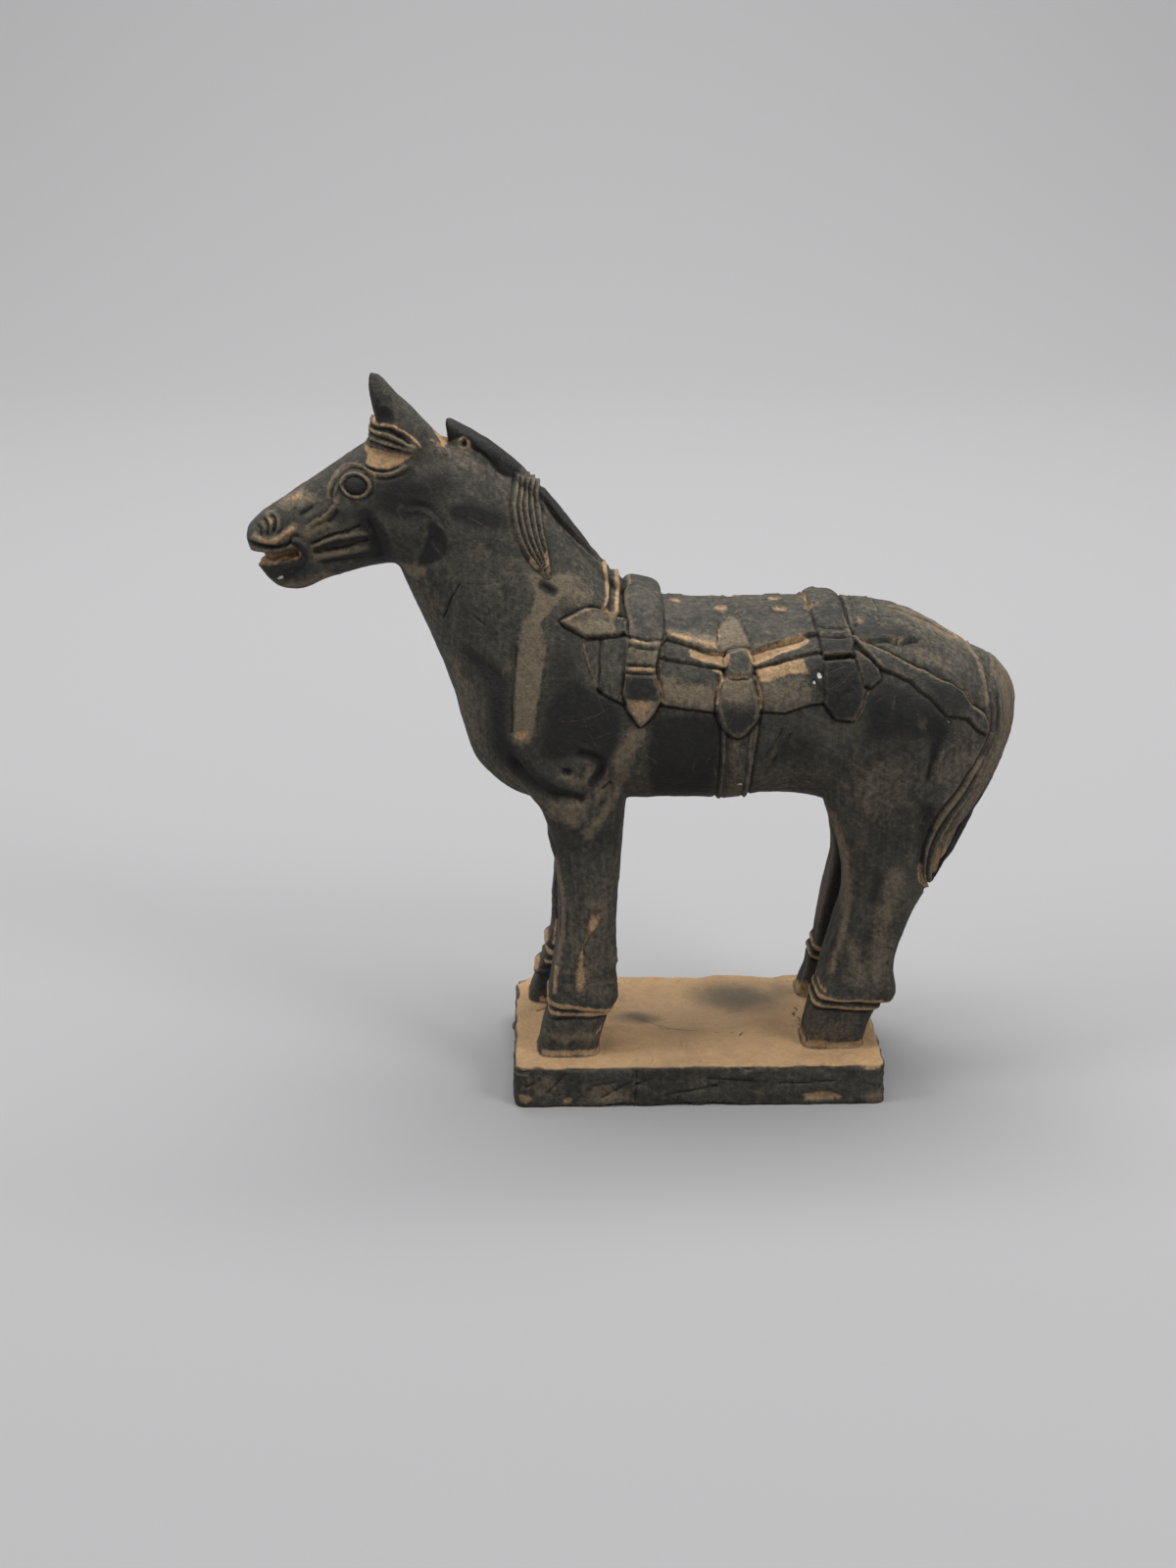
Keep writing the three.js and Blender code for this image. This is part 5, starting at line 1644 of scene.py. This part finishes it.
@dataclass(frozen=True)
class PlinthWear(Mark):
    """The plinth's hand-made unevenness: a dished top, wavy edges, chips and scratches."""

    def relief(self, skin: Skin) -> Array:
        """Height changes on the plinth only."""
        p = skin.points
        _, y, z = p.T
        on_plinth = step(13.0, 10.5, z)
        wave = 0.35 * lumps(p * [1, 1, 0.4], 14.0, 5) + 0.22 * lumps(p, 4.0, 6) + 0.1 * lumps(p, 1.6, 7)
        out = wave * on_plinth
        rub = lumps(p * [0.25, 1.0, 1.6], 1.6, 8)
        sides = on_plinth * step(10.9, 10.4, z)
        out += sides * (0.14 * rub + 0.26 * lumps(p * [0.5, 1.0, 1.0], 2.6, 10))
        for place, size, depth in self.chips():
            gap = np.linalg.norm((skin.wavy - np.array(place)) / np.array(size), axis=1)
            out -= depth * step(1.0, 0.45, gap)
        near_face = step(-26.0, -26.6, y) * step(0.4, 1.4, z) * step(10.9, 10.0, z)
        for start, end in self.scratches():
            gap, _ = line_distance(skin.flat, np.array([start, end]))
            out -= 0.4 * np.exp(-((gap / 0.3) ** 2)) * near_face
        upper = step(10.2, 10.8, z) * step(12.4, 11.6, z)
        level = skin.wavy[:, :2]
        for path, depth, width in self.top_marks():
            gap, along = line_distance(level, curve_through(path))
            ends = step(0.0, 0.2, along) * step(1.0, 0.8, along)
            out -= depth * np.exp(-((gap / width) ** 2)) * upper * ends
        lump = np.linalg.norm((p - [-47.0, 4.0, 7.6]) / [1.6, 2.2, 1.8], axis=1)
        return out + 1.1 * step(1.0, 0.2, lump)

    def chips(self) -> list[tuple[tuple[float, float, float], tuple[float, float, float], float]]:
        """Where edges are chipped: place, size and depth."""
        return [
            ((-45.6, -26.8, 10.8), (4.0, 1.6, 1.4), 0.9),
            ((-30.0, -27.0, 11.0), (6.0, 1.2, 0.9), 0.5),
            ((12.0, -27.0, 11.0), (3.0, 1.4, 1.2), 0.8),
            ((18.4, -26.6, 11.0), (2.4, 1.4, 1.0), 0.8),
            ((31.0, -27.0, 2.4), (6.0, 1.4, 1.6), 0.5),
            ((46.8, -26.6, 6.0), (1.6, 2.0, 5.0), 0.6),
            ((-20.0, -27.0, 0.4), (6.0, 1.4, 0.8), 0.5),
            ((2.0, -27.0, 0.3), (10.0, 1.4, 0.8), 0.4),
            ((42.0, -26.6, 11.0), (1.4, 2.2, 1.0), 0.5),
            ((-2.0, 27.0, 11.0), (12.0, 1.6, 1.2), 0.6),
            ((22.0, 27.0, 11.0), (5.0, 1.6, 1.4), 0.7),
            ((-47.0, 18.0, 11.0), (1.6, 6.0, 1.4), 0.8),
            ((47.0, 8.0, 11.0), (1.5, 7.0, 1.2), 0.6),
            ((-46.6, 26.6, 11.0), (4.0, 4.0, 2.4), 0.8),
            ((46.6, 26.6, 11.0), (4.0, 3.6, 2.2), 0.8),
        ]

    def scratches(self) -> list[tuple[tuple[float, float], tuple[float, float]]]:
        """Tool marks on the near face, as [x, z] ends."""
        return [
            ((-16.3, 10.4), (-16.6, 1.2)), ((-38.9, 4.2), (-34.1, 9.4)), ((-25.0, 2.4), (-17.6, 7.4)),
            ((-28.0, 5.8), (-22.0, 7.0)), ((-44.0, 6.0), (-41.0, 8.0)), ((20.0, 6.0), (34.0, 6.6)),
            ((-10.0, 3.0), (4.0, 5.4)), ((2.0, 7.6), (14.0, 6.8)), ((-16.6, 6.4), (-13.6, 7.4)),
        ]

    def top_marks(self) -> list[tuple[Points, float, float]]:
        """Scratches and finger marks on the top, as [x, y] paths with depth and width."""
        return [
            ([[-19.5, 3], [-13.9, 0], [-5.1, -5], [3.1, -5.6]], 0.3, 0.4),
            ([[-4.5, -9], [-4, -16.6]], 0.25, 0.4),
            ([[4.5, -7], [6, -7.4]], 0.3, 0.4), ([[8.6, -7], [10, -7.6]], 0.3, 0.4),
            ([[11, -8.8], [12.6, -7]], 0.3, 0.4),
            ([[-18, -10], [-8, 4], [4, 16]], 0.25, 2.4),
            ([[20, -12], [24, 2], [20, 18]], 0.2, 2.2),
            ([[26.4, 8.4], [27.6, 6.2], [26.6, 3.4], [28.2, 0.4], [27.2, -6]], 0.45, 0.5),
            ([[-42, 6], [-38.6, 8.6], [-37, 12]], 0.45, 0.45),
        ]


class Potter:
    """Fuses the masses, presses in the carving and returns the finished surface."""

    def __init__(self, parts: Sequence[Part]) -> None:
        """Keeps the parts that make up the figure.

        Args:
            parts: every sub-assembly.
        """
        self.parts = list(parts)

    def raw_mesh(self) -> bpy.types.Mesh:
        """All masses in one mesh, still passing through each other."""
        points: list[Array] = []
        faces: list[tuple[int, ...]] = []
        count = 0
        for part in self.parts:
            for mass in part.masses():
                p, f = mass.build()
                faces += [tuple(i + count for i in face) for face in f]
                points.append(p)
                count += len(p)
            LOG.info("massed %s", part.name)
        mesh = bpy.data.meshes.new("raw_clay")
        mesh.from_pydata(np.vstack(points).tolist(), [], faces)
        mesh.update()
        return mesh

    def evaluated(self, mesh: bpy.types.Mesh, kind: str, **settings: Any) -> bpy.types.Mesh:
        """A copy of a mesh with one modifier applied.

        Args:
            mesh: the mesh, which is removed.
            kind: the modifier's type.
            settings: the modifier's settings by name.

        Returns:
            The new mesh.
        """
        holder = bpy.data.objects.new("holder", mesh)
        bpy.context.scene.collection.objects.link(holder)
        modifier = holder.modifiers.new("work", kind)
        for name, value in settings.items():
            setattr(modifier, name, value)
        graph = bpy.context.evaluated_depsgraph_get()
        made = bpy.data.meshes.new_from_object(holder.evaluated_get(graph))
        bpy.data.objects.remove(holder)
        bpy.data.meshes.remove(mesh)
        return made

    def read(self, mesh: bpy.types.Mesh) -> Array:
        """A mesh's points as an array."""
        flat = np.empty(len(mesh.vertices) * 3, np.float32)
        mesh.vertices.foreach_get("co", flat)
        return flat.reshape(-1, 3).astype(float)

    def normals(self, mesh: bpy.types.Mesh) -> Array:
        """A mesh's point normals as an array."""
        flat = np.empty(len(mesh.vertices) * 3, np.float32)
        mesh.vertex_normals.foreach_get("vector", flat)
        return flat.reshape(-1, 3).astype(float)

    def edges(self, mesh: bpy.types.Mesh) -> Array:
        """A mesh's edges as pairs of point numbers."""
        flat = np.empty(len(mesh.edges) * 2, np.int32)
        mesh.edges.foreach_get("vertices", flat)
        return flat.reshape(-1, 2)

    def write(self, mesh: bpy.types.Mesh, points: Array) -> None:
        """Puts points back into a mesh."""
        mesh.vertices.foreach_set("co", points.astype(np.float32).ravel())
        mesh.update()

    def average(self, values: Array, edges: Array) -> Array:
        """Each point's mean over its neighbours along edges."""
        a, b = edges.T
        n = len(values)
        count = np.maximum(np.bincount(a, minlength=n) + np.bincount(b, minlength=n), 1)
        columns = [np.bincount(a, values[b, k], n) + np.bincount(b, values[a, k], n)
                   for k in range(values.shape[1])]
        return np.stack(columns, axis=1) / count[:, None]

    def seams(self, points: Array) -> Array:
        """How strongly each place is smoothed, most where legs, neck and ears join the body."""
        joins = [
            ((-31, 14, 82), 12), ((-31, -14, 82), 12), ((47, 14, 82), 16), ((47, -14, 82), 16),
            ((-31, 0, 78), 10), ((32, 0, 76), 9), ((-66, 0, 148), 15), ((-70, 0, 138), 7),
            ((-66, 8, 166), 5), ((-66, -8, 166), 5), ((70, 9, 96), 11), ((70, -9, 96), 11),
            ((60, 9, 76), 9), ((60, -9, 76), 9), ((66, 0, 112), 7),
        ]
        weight = np.zeros(len(points))
        for place, radius in joins:
            gap = np.linalg.norm(points - np.array(place, float), axis=1)
            weight = np.maximum(weight, step(radius, 0.5 * radius, gap))
        return weight

    def rim_distance(self, points: Array) -> Array:
        """How far each place is inside the plinth's outline seen from above."""
        x, y, _ = np.abs(points).T
        return np.minimum(PLINTH_LENGTH / 2 - x, PLINTH_WIDTH / 2 - y)

    def smooth(self, points: Array, edges: Array) -> Array:
        """Evens the fused surface: strongly at the seams, at the feet, then lightly all over."""
        z = points[:, 2]
        seam = self.seams(points)[:, None]
        for _ in range(SEAM_PASSES):
            points = points + SEAM_PULL * seam * (self.average(points, edges) - points)
        feet = step(10.5, 10.9, z) * step(15.0, 12.6, z) * step(0.8, 1.8, self.rim_distance(points))
        for _ in range(FOOT_PASSES):
            points = points + SEAM_PULL * feet[:, None] * (self.average(points, edges) - points)
        upright = step(11.6, 13.5, z)[:, None]
        for _ in range(SKIN_PASSES):
            points = points + SKIN_PULL * upright * (self.average(points, edges) - points)
        return points

    def carve(self, mesh: bpy.types.Mesh) -> None:
        """Presses all the carving into a mesh, and keeps each finish's cover on it."""
        edges = self.edges(mesh)
        points = self.smooth(self.read(mesh), edges)
        self.write(mesh, points)
        normals = self.normals(mesh)
        for _ in range(NORMAL_PASSES):
            normals = self.average(normals, edges)
        normals /= np.maximum(np.linalg.norm(normals, axis=1), 1e-6)[:, None]
        tree = BVHTree.FromPolygons(points.tolist(), [tuple(p.vertices) for p in mesh.polygons])
        skin = Skin(points, tree)
        ground = self.ground(points)
        height = ground
        covers = {tint: np.zeros(len(points)) for tint in Tint}
        for part in self.parts:
            for mark in part.carving():
                height = mark.press(skin, height, ground)
            for patch in part.patches():
                covers[patch.tint] = np.maximum(covers[patch.tint], patch.cover(skin))
            LOG.info("carved %s", part.name)
        for tint, cover in covers.items():
            self.keep(mesh, tint.value, cover)
        rim = self.rim_distance(points) + 0.5 * lumps(points, 3.0, 31)
        top = step(0.6, 0.9, normals[:, 2]) * step(14.0, 12.2, points[:, 2]) * step(-0.2, 0.8, rim)
        self.keep(mesh, "on_top", top)
        detail = self.detail(height, edges)
        self.keep(mesh, "ridge", np.clip(detail, 0.0, 1.0))
        # The cavity value drives painted shade in the grooves.
        self.keep(mesh, "cavity", np.clip(-detail, 0.0, 1.0))
        points = points + normals * height[:, None]
        points[:, 2] = np.where(points[:, 2] < GROUND_SNAP, 0.0, points[:, 2])
        self.write(mesh, points)

    def ground(self, points: Array) -> Array:
        """The clay's own unevenness: hand-pressed lumps, brushed streaks, and facets on the legs."""
        height = 0.16 * lumps(points, 9.0, 1) + 0.11 * lumps(points, 3.2, 2)
        height += 0.06 * lumps(points, 1.3, 3)
        height += 0.07 * lumps(points * [1.0, 1.0, 0.3], 1.8, 4)
        legs = step(72.0, 58.0, points[:, 2]) * step(12.5, 15.0, points[:, 2])
        return height + 0.26 * legs * lumps(points * [1.0, 1.0, 0.16], 3.6, 9)

    def detail(self, height: Array, edges: Array) -> Array:
        """How far the carving stands over its own mean nearby, in detail units.

        Args:
            height: the carving's height at each point.
            edges: the mesh's edges.

        Returns:
            A value above 0 on ridges and below 0 in grooves.
        """
        mean = height[:, None]
        for _ in range(DETAIL_PASSES):
            mean = self.average(mean, edges)
        return (height - mean[:, 0]) / DETAIL_UNIT

    def keep(self, mesh: bpy.types.Mesh, name: str, values: Array) -> None:
        """Keeps one value per point on a mesh under a name."""
        made = mesh.attributes.new(name, "FLOAT", "POINT")
        made.data.foreach_set("value", values.astype(np.float32))

    def build(self) -> bpy.types.Mesh:
        """The finished mesh in metres.

        Returns:
            One closed mesh of triangles within the limit, with its finishes kept on it.
        """
        mesh = self.evaluated(self.raw_mesh(), "REMESH", mode="VOXEL", voxel_size=FUSE_CELL)
        LOG.info("fused into %d faces", len(mesh.polygons))
        self.carve(mesh)
        ratio = TRIANGLE_LIMIT / (2.0 * len(mesh.polygons))
        mesh = self.evaluated(mesh, "DECIMATE", ratio=ratio, use_collapse_triangulate=True)
        self.write(mesh, self.read(mesh) * MM)
        mesh.shade_smooth()
        LOG.info("finished with %d triangles", len(mesh.polygons))
        return mesh


@dataclass(frozen=True)
class Val:
    """A number socket on which Python's operators add Math nodes."""

    tree: bpy.types.NodeTree
    socket: bpy.types.NodeSocket

    def _math(self, operation: str, *values: Any) -> "Val":
        """Adds a Math node of an operation on these values."""
        node = self.tree.nodes.new("ShaderNodeMath")
        node.operation = operation
        for i, value in enumerate(values):
            if isinstance(value, Val):
                self.tree.links.new(value.socket, node.inputs[i])
            else:
                node.inputs[i].default_value = float(value)
        return Val(self.tree, node.outputs[0])

    def __add__(self, other: Any) -> "Val":
        """The sum."""
        return self._math("ADD", self, other)

    def __radd__(self, other: Any) -> "Val":
        """The sum, from the right."""
        return self._math("ADD", other, self)

    def __sub__(self, other: Any) -> "Val":
        """The difference."""
        return self._math("SUBTRACT", self, other)

    def __rsub__(self, other: Any) -> "Val":
        """The difference, from the right."""
        return self._math("SUBTRACT", other, self)

    def __mul__(self, other: Any) -> "Val":
        """The product."""
        return self._math("MULTIPLY", self, other)

    def __rmul__(self, other: Any) -> "Val":
        """The product, from the right."""
        return self._math("MULTIPLY", other, self)

    def larger(self, other: Any) -> "Val":
        """The larger of two values."""
        return self._math("MAXIMUM", self, other)

    def clamped(self) -> "Val":
        """The value held between 0 and 1."""
        return self._math("MINIMUM", self._math("MAXIMUM", self, 0.0), 1.0)

    def absolute(self) -> "Val":
        """The value without its sign."""
        return self._math("ABSOLUTE", self)


class Nodes:
    """Adds nodes to one material."""

    def __init__(self, material: bpy.types.Material) -> None:
        """Clears a material's nodes.

        Args:
            material: the material to fill.
        """
        material.use_nodes = True
        self.tree = material.node_tree
        self.tree.nodes.clear()

    def node(self, kind: str, settings: dict[str, Any] | None = None,
             inputs: dict[Any, Any] | None = None) -> bpy.types.Node:
        """Adds one node.

        Args:
            kind: the node's type.
            settings: properties set first, by name.
            inputs: values or sockets by input name or number.

        Returns:
            The node.
        """
        made = self.tree.nodes.new(kind)
        for name, value in (settings or {}).items():
            setattr(made, name, value)
        for name, value in (inputs or {}).items():
            socket = made.inputs[name]
            if isinstance(value, Val):
                self.tree.links.new(value.socket, socket)
            elif isinstance(value, bpy.types.NodeSocket):
                self.tree.links.new(value, socket)
            else:
                socket.default_value = value
        return made

    def value(self, node: bpy.types.Node, output: Any = 0) -> Val:
        """A node's output as a value that takes operators."""
        return Val(self.tree, node.outputs[output])

    def stored(self, name: str) -> Val:
        """A value kept on the mesh under a name."""
        return self.value(self.node("ShaderNodeAttribute", {"attribute_name": name}), "Fac")

    def noise(self, place: bpy.types.NodeSocket, size_mm: float, detail: float = 4.0, rough: float = 0.55
              ) -> Val:
        """Cloudy noise between 0 and 1 with lumps of a size in millimetres."""
        return self.value(self.node("ShaderNodeTexNoise", inputs={
            "Vector": place, "Scale": 1.0 / (size_mm * MM), "Detail": detail, "Roughness": rough}), "Fac")

    def strokes(self, place: bpy.types.NodeSocket, turn: float, size_mm: float, stretch: float,
                detail: float = 2.0) -> Val:
        """Streaky noise between 0 and 1.

        Args:
            place: the object's coordinates.
            turn: how far the streaks lean from upright in the side view, in degrees.
            size_mm: the streaks' breadth.
            stretch: how many times longer than broad they are.
            detail: how much finer noise is added.

        Returns:
            The streaks.
        """
        turned = self.node("ShaderNodeMapping", {"vector_type": "POINT"}, {
            "Vector": place, "Rotation": (0.0, math.radians(turn), 0.0)}).outputs[0]
        drawn = self.node("ShaderNodeVectorMath", {"operation": "MULTIPLY"}, {
            0: turned, 1: (1.0, 1.0, 1.0 / stretch)}).outputs[0]
        return self.noise(drawn, size_mm, detail, 0.55)

    def rise(self, value: Val, low: float, high: float) -> Val:
        """Rises smoothly from 0 at low to 1 at high."""
        return self.value(self.node("ShaderNodeMapRange", {"interpolation_type": "SMOOTHSTEP"}, {
            "Value": value, "From Min": low, "From Max": high, "To Min": 0.0, "To Max": 1.0}), "Result")

    def mix(self, amount: Val, first: Any, second: Any) -> bpy.types.NodeSocket:
        """Mixes two colours by an amount."""
        made = self.node("ShaderNodeMix", {"data_type": "RGBA"}, {0: amount, 6: first, 7: second})
        return made.outputs[2]

    def scaled(self, colour: Any, factor: Val) -> bpy.types.NodeSocket:
        """A colour made lighter or darker by a factor."""
        made = self.node("ShaderNodeVectorMath", {"operation": "SCALE"}, {0: colour, "Scale": factor})
        return made.outputs[0]


@dataclass(frozen=True)
class SmokedClay:
    """Dark grey slip brushed over tan fired clay, dusty, smoky in patches, and worn through in places, with
    painted shade in the grooves and on the legs' facing sides.
    """

    slip: tuple[float, float, float, float] = (0.030, 0.029, 0.0245, 1.0)
    slip_light: tuple[float, float, float, float] = (0.074, 0.067, 0.052, 1.0)
    # Near-black for smoky patches and for the painted shade between the legs.
    smoke_and_shade: tuple[float, float, float, float] = (0.0135, 0.0132, 0.0126, 1.0)
    dust: tuple[float, float, float, float] = (0.160, 0.127, 0.086, 1.0)
    clay: tuple[float, float, float, float] = (0.50, 0.32, 0.165, 1.0)
    clay_deep: tuple[float, float, float, float] = (0.27, 0.180, 0.102, 1.0)
    # Near-black for the grooves: their dark cut lines and painted shade.
    groove_dark_and_shade: tuple[float, float, float, float] = (0.015, 0.011, 0.008, 1.0)
    plaster: tuple[float, float, float, float] = (0.62, 0.60, 0.55, 1.0)

    def material(self) -> bpy.types.Material:
        """Builds the material.

        Returns:
            A material whose colour, roughness and bump come from places and kept values.
        """
        material = bpy.data.materials.new("smoked_clay")
        n = Nodes(material)
        place = n.node("ShaderNodeTexCoord").outputs["Object"]
        broad = n.noise(place, 16.0, 3.0)
        mottle = n.noise(place, 4.2, 5.0, 0.6)
        grain = n.noise(place, 1.1, 4.0, 0.65)
        speck = n.noise(place, 0.5, 3.0, 0.7)
        upright = n.strokes(place, 0.0, 1.3, 7.0)
        leaning = n.strokes(place, 58.0, 1.1, 8.0)
        crossing = n.strokes(place, -50.0, 1.2, 8.0)
        brushed = 0.45 * upright + 0.3 * leaning + 0.25 * crossing
        ridge, cavity = n.stored("ridge"), n.stored("cavity")
        bare, soot = n.stored(Tint.BARE.value), n.stored(Tint.SOOT.value)
        dust, chip = n.stored(Tint.DUST.value), n.stored(Tint.CHIP.value)
        cloud, on_top = n.stored(Tint.CLOUD.value), n.stored("on_top")

        shade = 0.45 * broad + 0.15 * mottle + 0.4 * brushed + (grain - 0.5) * 0.2
        colour = n.mix(n.rise(shade, 0.36, 0.66), self.slip, self.slip_light)
        dusty = dust + (mottle - 0.5) * 0.35 + (brushed - 0.5) * 0.7 + (grain - 0.5) * 0.45
        colour = n.mix(n.rise(dusty, 0.16, 0.84) * 0.88, colour, self.dust)
        # Smoky patches, and the painted shade between the legs, darken towards near-black.
        smoke_and_shade_cover = n.rise(soot + (mottle - 0.5) * 0.3 + (brushed - 0.5) * 0.5, 0.16, 0.84) * 0.92
        colour = n.mix(smoke_and_shade_cover, colour, self.smoke_and_shade)
        rubbed = n.rise(ridge + (grain - 0.5) * 0.6 + (mottle - 0.5) * 0.6 - soot * 0.6, 0.25, 1.1)
        colour = n.mix(rubbed * 0.6, colour, self.dust)
        clay_tone = n.rise(0.4 * broad + 0.4 * mottle + 0.2 * brushed, 0.38, 0.62) * 0.5 + on_top * 0.5
        clay_colour = n.mix(clay_tone.clamped(), self.clay_deep, self.clay)
        worn = n.rise(bare + (mottle - 0.5) * 0.45 + (grain - 0.5) * 0.45, 0.32, 0.68) * 0.92
        colour = n.mix(worn.larger(on_top), colour, clay_colour)
        sooty = n.rise(cloud + (brushed - 0.5) * 0.6 + (mottle - 0.5) * 0.4, 0.05, 1.0) * on_top
        colour = n.mix(sooty * 0.86, colour, self.slip_light)
        speckled = n.rise(speck * 0.5 + grain * 0.5, 0.54, 0.7) * on_top
        colour = n.mix(speckled * 0.2, colour, self.dust)
        # Painted shade with the dark of the cut lines: grooves darken towards near-black, less where bare
        # clay is worn through.
        deep = n.rise(cavity + (grain - 0.5) * 0.3 - worn * 0.4, 0.22, 1.0) * 0.84
        colour = n.mix(deep, colour, self.groove_dark_and_shade)
        scratched = self.scratches(n, place, mottle)
        colour = n.mix(scratched * 0.3, colour, self.dust)
        texture = n.rise(0.4 * grain + 0.3 * speck + 0.3 * brushed, 0.38, 0.62)
        colour = n.scaled(colour, 0.74 + 0.52 * texture - on_top * (texture - 0.5) * 0.3)
        colour = n.mix(n.rise(chip + (speck - 0.5) * 0.3, 0.35, 0.6), colour, self.plaster)
        colour = n.mix(n.rise(speck, 0.64, 0.76) * 0.25, colour, self.dust)

        rough = 0.72 + (grain - 0.5) * 0.2 + dust * 0.1 + worn * 0.15 - smoke_and_shade_cover * 0.1
        height = brushed * 0.7 + grain * 0.7 + speck * 0.4 + mottle * 0.5 - scratched * 0.3
        bump = n.node("ShaderNodeBump", inputs={"Height": height, "Strength": 0.8, "Distance": 0.0006})
        shader = n.node("ShaderNodeBsdfPrincipled", inputs={
            "Base Color": colour, "Roughness": rough.clamped(), "Normal": bump.outputs[0],
            "Specular IOR Level": 0.22})
        n.node("ShaderNodeOutputMaterial", inputs={0: shader.outputs[0]})
        return material

    def scratches(self, n: Nodes, place: bpy.types.NodeSocket, mottle: Val) -> Val:
        """Hairline scratches: where long streaky noise passes through its middle value."""
        first = n.strokes(place, 35.0, 7.0, 5.0, 0.0) - 0.5
        second = n.strokes(place, -62.0, 8.0, 4.0, 0.0) - 0.5
        lines = 1.0 - n.rise(first.absolute(), 0.0, 0.014)
        lines = lines.larger(1.0 - n.rise(second.absolute(), 0.0, 0.012))
        return lines * n.rise(mottle, 0.45, 0.65)


@dataclass(frozen=True)
class PaperSweep:
    """The plain pale surface that the figure stands on, curving up behind it."""

    grey: tuple[float, float, float, float] = (0.312, 0.308, 0.312, 1.0)
    half_width: float = 4.0
    near: float = -4.0
    bend: float = 0.9
    height: float = 1.2

    def build(self) -> bpy.types.Object:
        """A sheet: level from the near edge to the bend, then up a quarter circle."""
        angle = np.linspace(0.0, math.pi / 2, 32)
        y = np.concatenate([[self.near], self.bend + self.height * np.sin(angle)])
        z = np.concatenate([[0.0], self.height * (1.0 - np.cos(angle))])
        x = np.array([-self.half_width, self.half_width])
        points = np.stack(np.broadcast_arrays(x[None, :], y[:, None], z[:, None]), axis=-1).reshape(-1, 3)
        i = np.arange(len(y) - 1) * 2
        quads = np.stack([i, i + 1, i + 3, i + 2], axis=1)
        mesh = bpy.data.meshes.new("paper_sweep")
        mesh.from_pydata(points.tolist(), [], quads.tolist())
        mesh.shade_smooth()
        material = bpy.data.materials.new("paper")
        n = Nodes(material)
        shader = n.node("ShaderNodeBsdfPrincipled", inputs={"Base Color": self.grey, "Roughness": 0.8,
                                                            "Specular IOR Level": 0.2})
        n.node("ShaderNodeOutputMaterial", inputs={0: shader.outputs[0]})
        mesh.materials.append(material)
        sheet = bpy.data.objects.new("paper_sweep", mesh)
        bpy.context.scene.collection.objects.link(sheet)
        return sheet


@dataclass(frozen=True)
class Lamp:
    """A square soft light that looks at a place, by default the middle of the figure."""

    name: str
    place: tuple[float, float, float]
    size: float
    power: float
    aim: tuple[float, float, float] = (0.0, 0.0, 0.09)

    def build(self) -> None:
        """Adds the light."""
        light = bpy.data.lights.new(self.name, "AREA")
        light.size = self.size
        light.energy = self.power
        lamp = bpy.data.objects.new(self.name, light)
        lamp.location = self.place
        way = Vector(self.aim) - lamp.location
        lamp.rotation_euler = way.to_track_quat("-Z", "Y").to_euler()
        bpy.context.scene.collection.objects.link(lamp)


@dataclass(frozen=True)
class Studio:
    """Camera, paper and light."""

    lens: float = 54.0
    camera_place: tuple[float, float, float] = (-0.0411, -0.5562, 0.2890)
    pitch_down: float = 20.81
    yaw: float = 1.36

    def camera(self) -> None:
        """Sets the camera at the photograph's viewing angle."""
        data = bpy.data.cameras.new("camera")
        data.lens = self.lens
        data.sensor_width = 36.0
        data.clip_start = 0.01
        made = bpy.data.objects.new("camera", data)
        made.location = self.camera_place
        made.rotation_euler = Euler((math.radians(90.0 - self.pitch_down), 0.0, math.radians(-self.yaw)))
        bpy.context.scene.collection.objects.link(made)
        bpy.context.scene.camera = made

    def light(self) -> None:
        """Soft boxes over and to both sides of the figure, one for the paper, and a pale surround."""
        for lamp in (
            Lamp("overhead", (0.05, 0.12, 1.4), 1.2, 24.0),
            Lamp("right_front", (0.9, -0.75, 1.0), 0.45, 7.4),
            Lamp("left_side", (-1.2, -0.3, 0.9), 0.45, 6.4),
            Lamp("backdrop", (0.0, 0.75, 1.5), 1.4, 22.0, aim=(0.0, 2.1, 0.35)),
        ):
            lamp.build()
        world = bpy.data.worlds.new("surround")
        world.use_nodes = True
        world.node_tree.nodes["Background"].inputs["Color"].default_value = (0.96, 0.97, 1.0, 1.0)
        world.node_tree.nodes["Background"].inputs["Strength"].default_value = 0.25
        bpy.context.scene.world = world
        bpy.context.scene.view_settings.view_transform = "Standard"

    def build(self) -> None:
        """Sets up everything round the figure."""
        self.camera()
        self.light()
        PaperSweep().build()


def make_horse() -> bpy.types.Object:
    """Builds and dresses the figure as one piece.

    Returns:
        The horse's object, riding on the part's only body.
    """
    parts: list[Part] = [Trunk(), Head(), Mane(), Saddle(), Tail(), Legs(), Plinth()]
    mesh = Potter(parts).build()
    mesh.materials.clear()
    mesh.materials.append(SmokedClay().material())
    horse = bpy.data.objects.new("clay_horse_figure", mesh)
    bpy.context.scene.collection.objects.link(horse)
    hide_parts("clay_horse")
    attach(horse, "root")
    LOG.info("dressed %s", horse.name)
    return horse


def main() -> None:
    """Builds the horse and its studio."""
    logging.basicConfig(level=logging.INFO, format="%(name)s: %(message)s")
    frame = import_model()
    LOG.info("frame holds %s", ", ".join(frame["nodes"]))
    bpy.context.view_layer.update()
    Studio().build()
    make_horse()


if __name__ == "__main__":
    main()
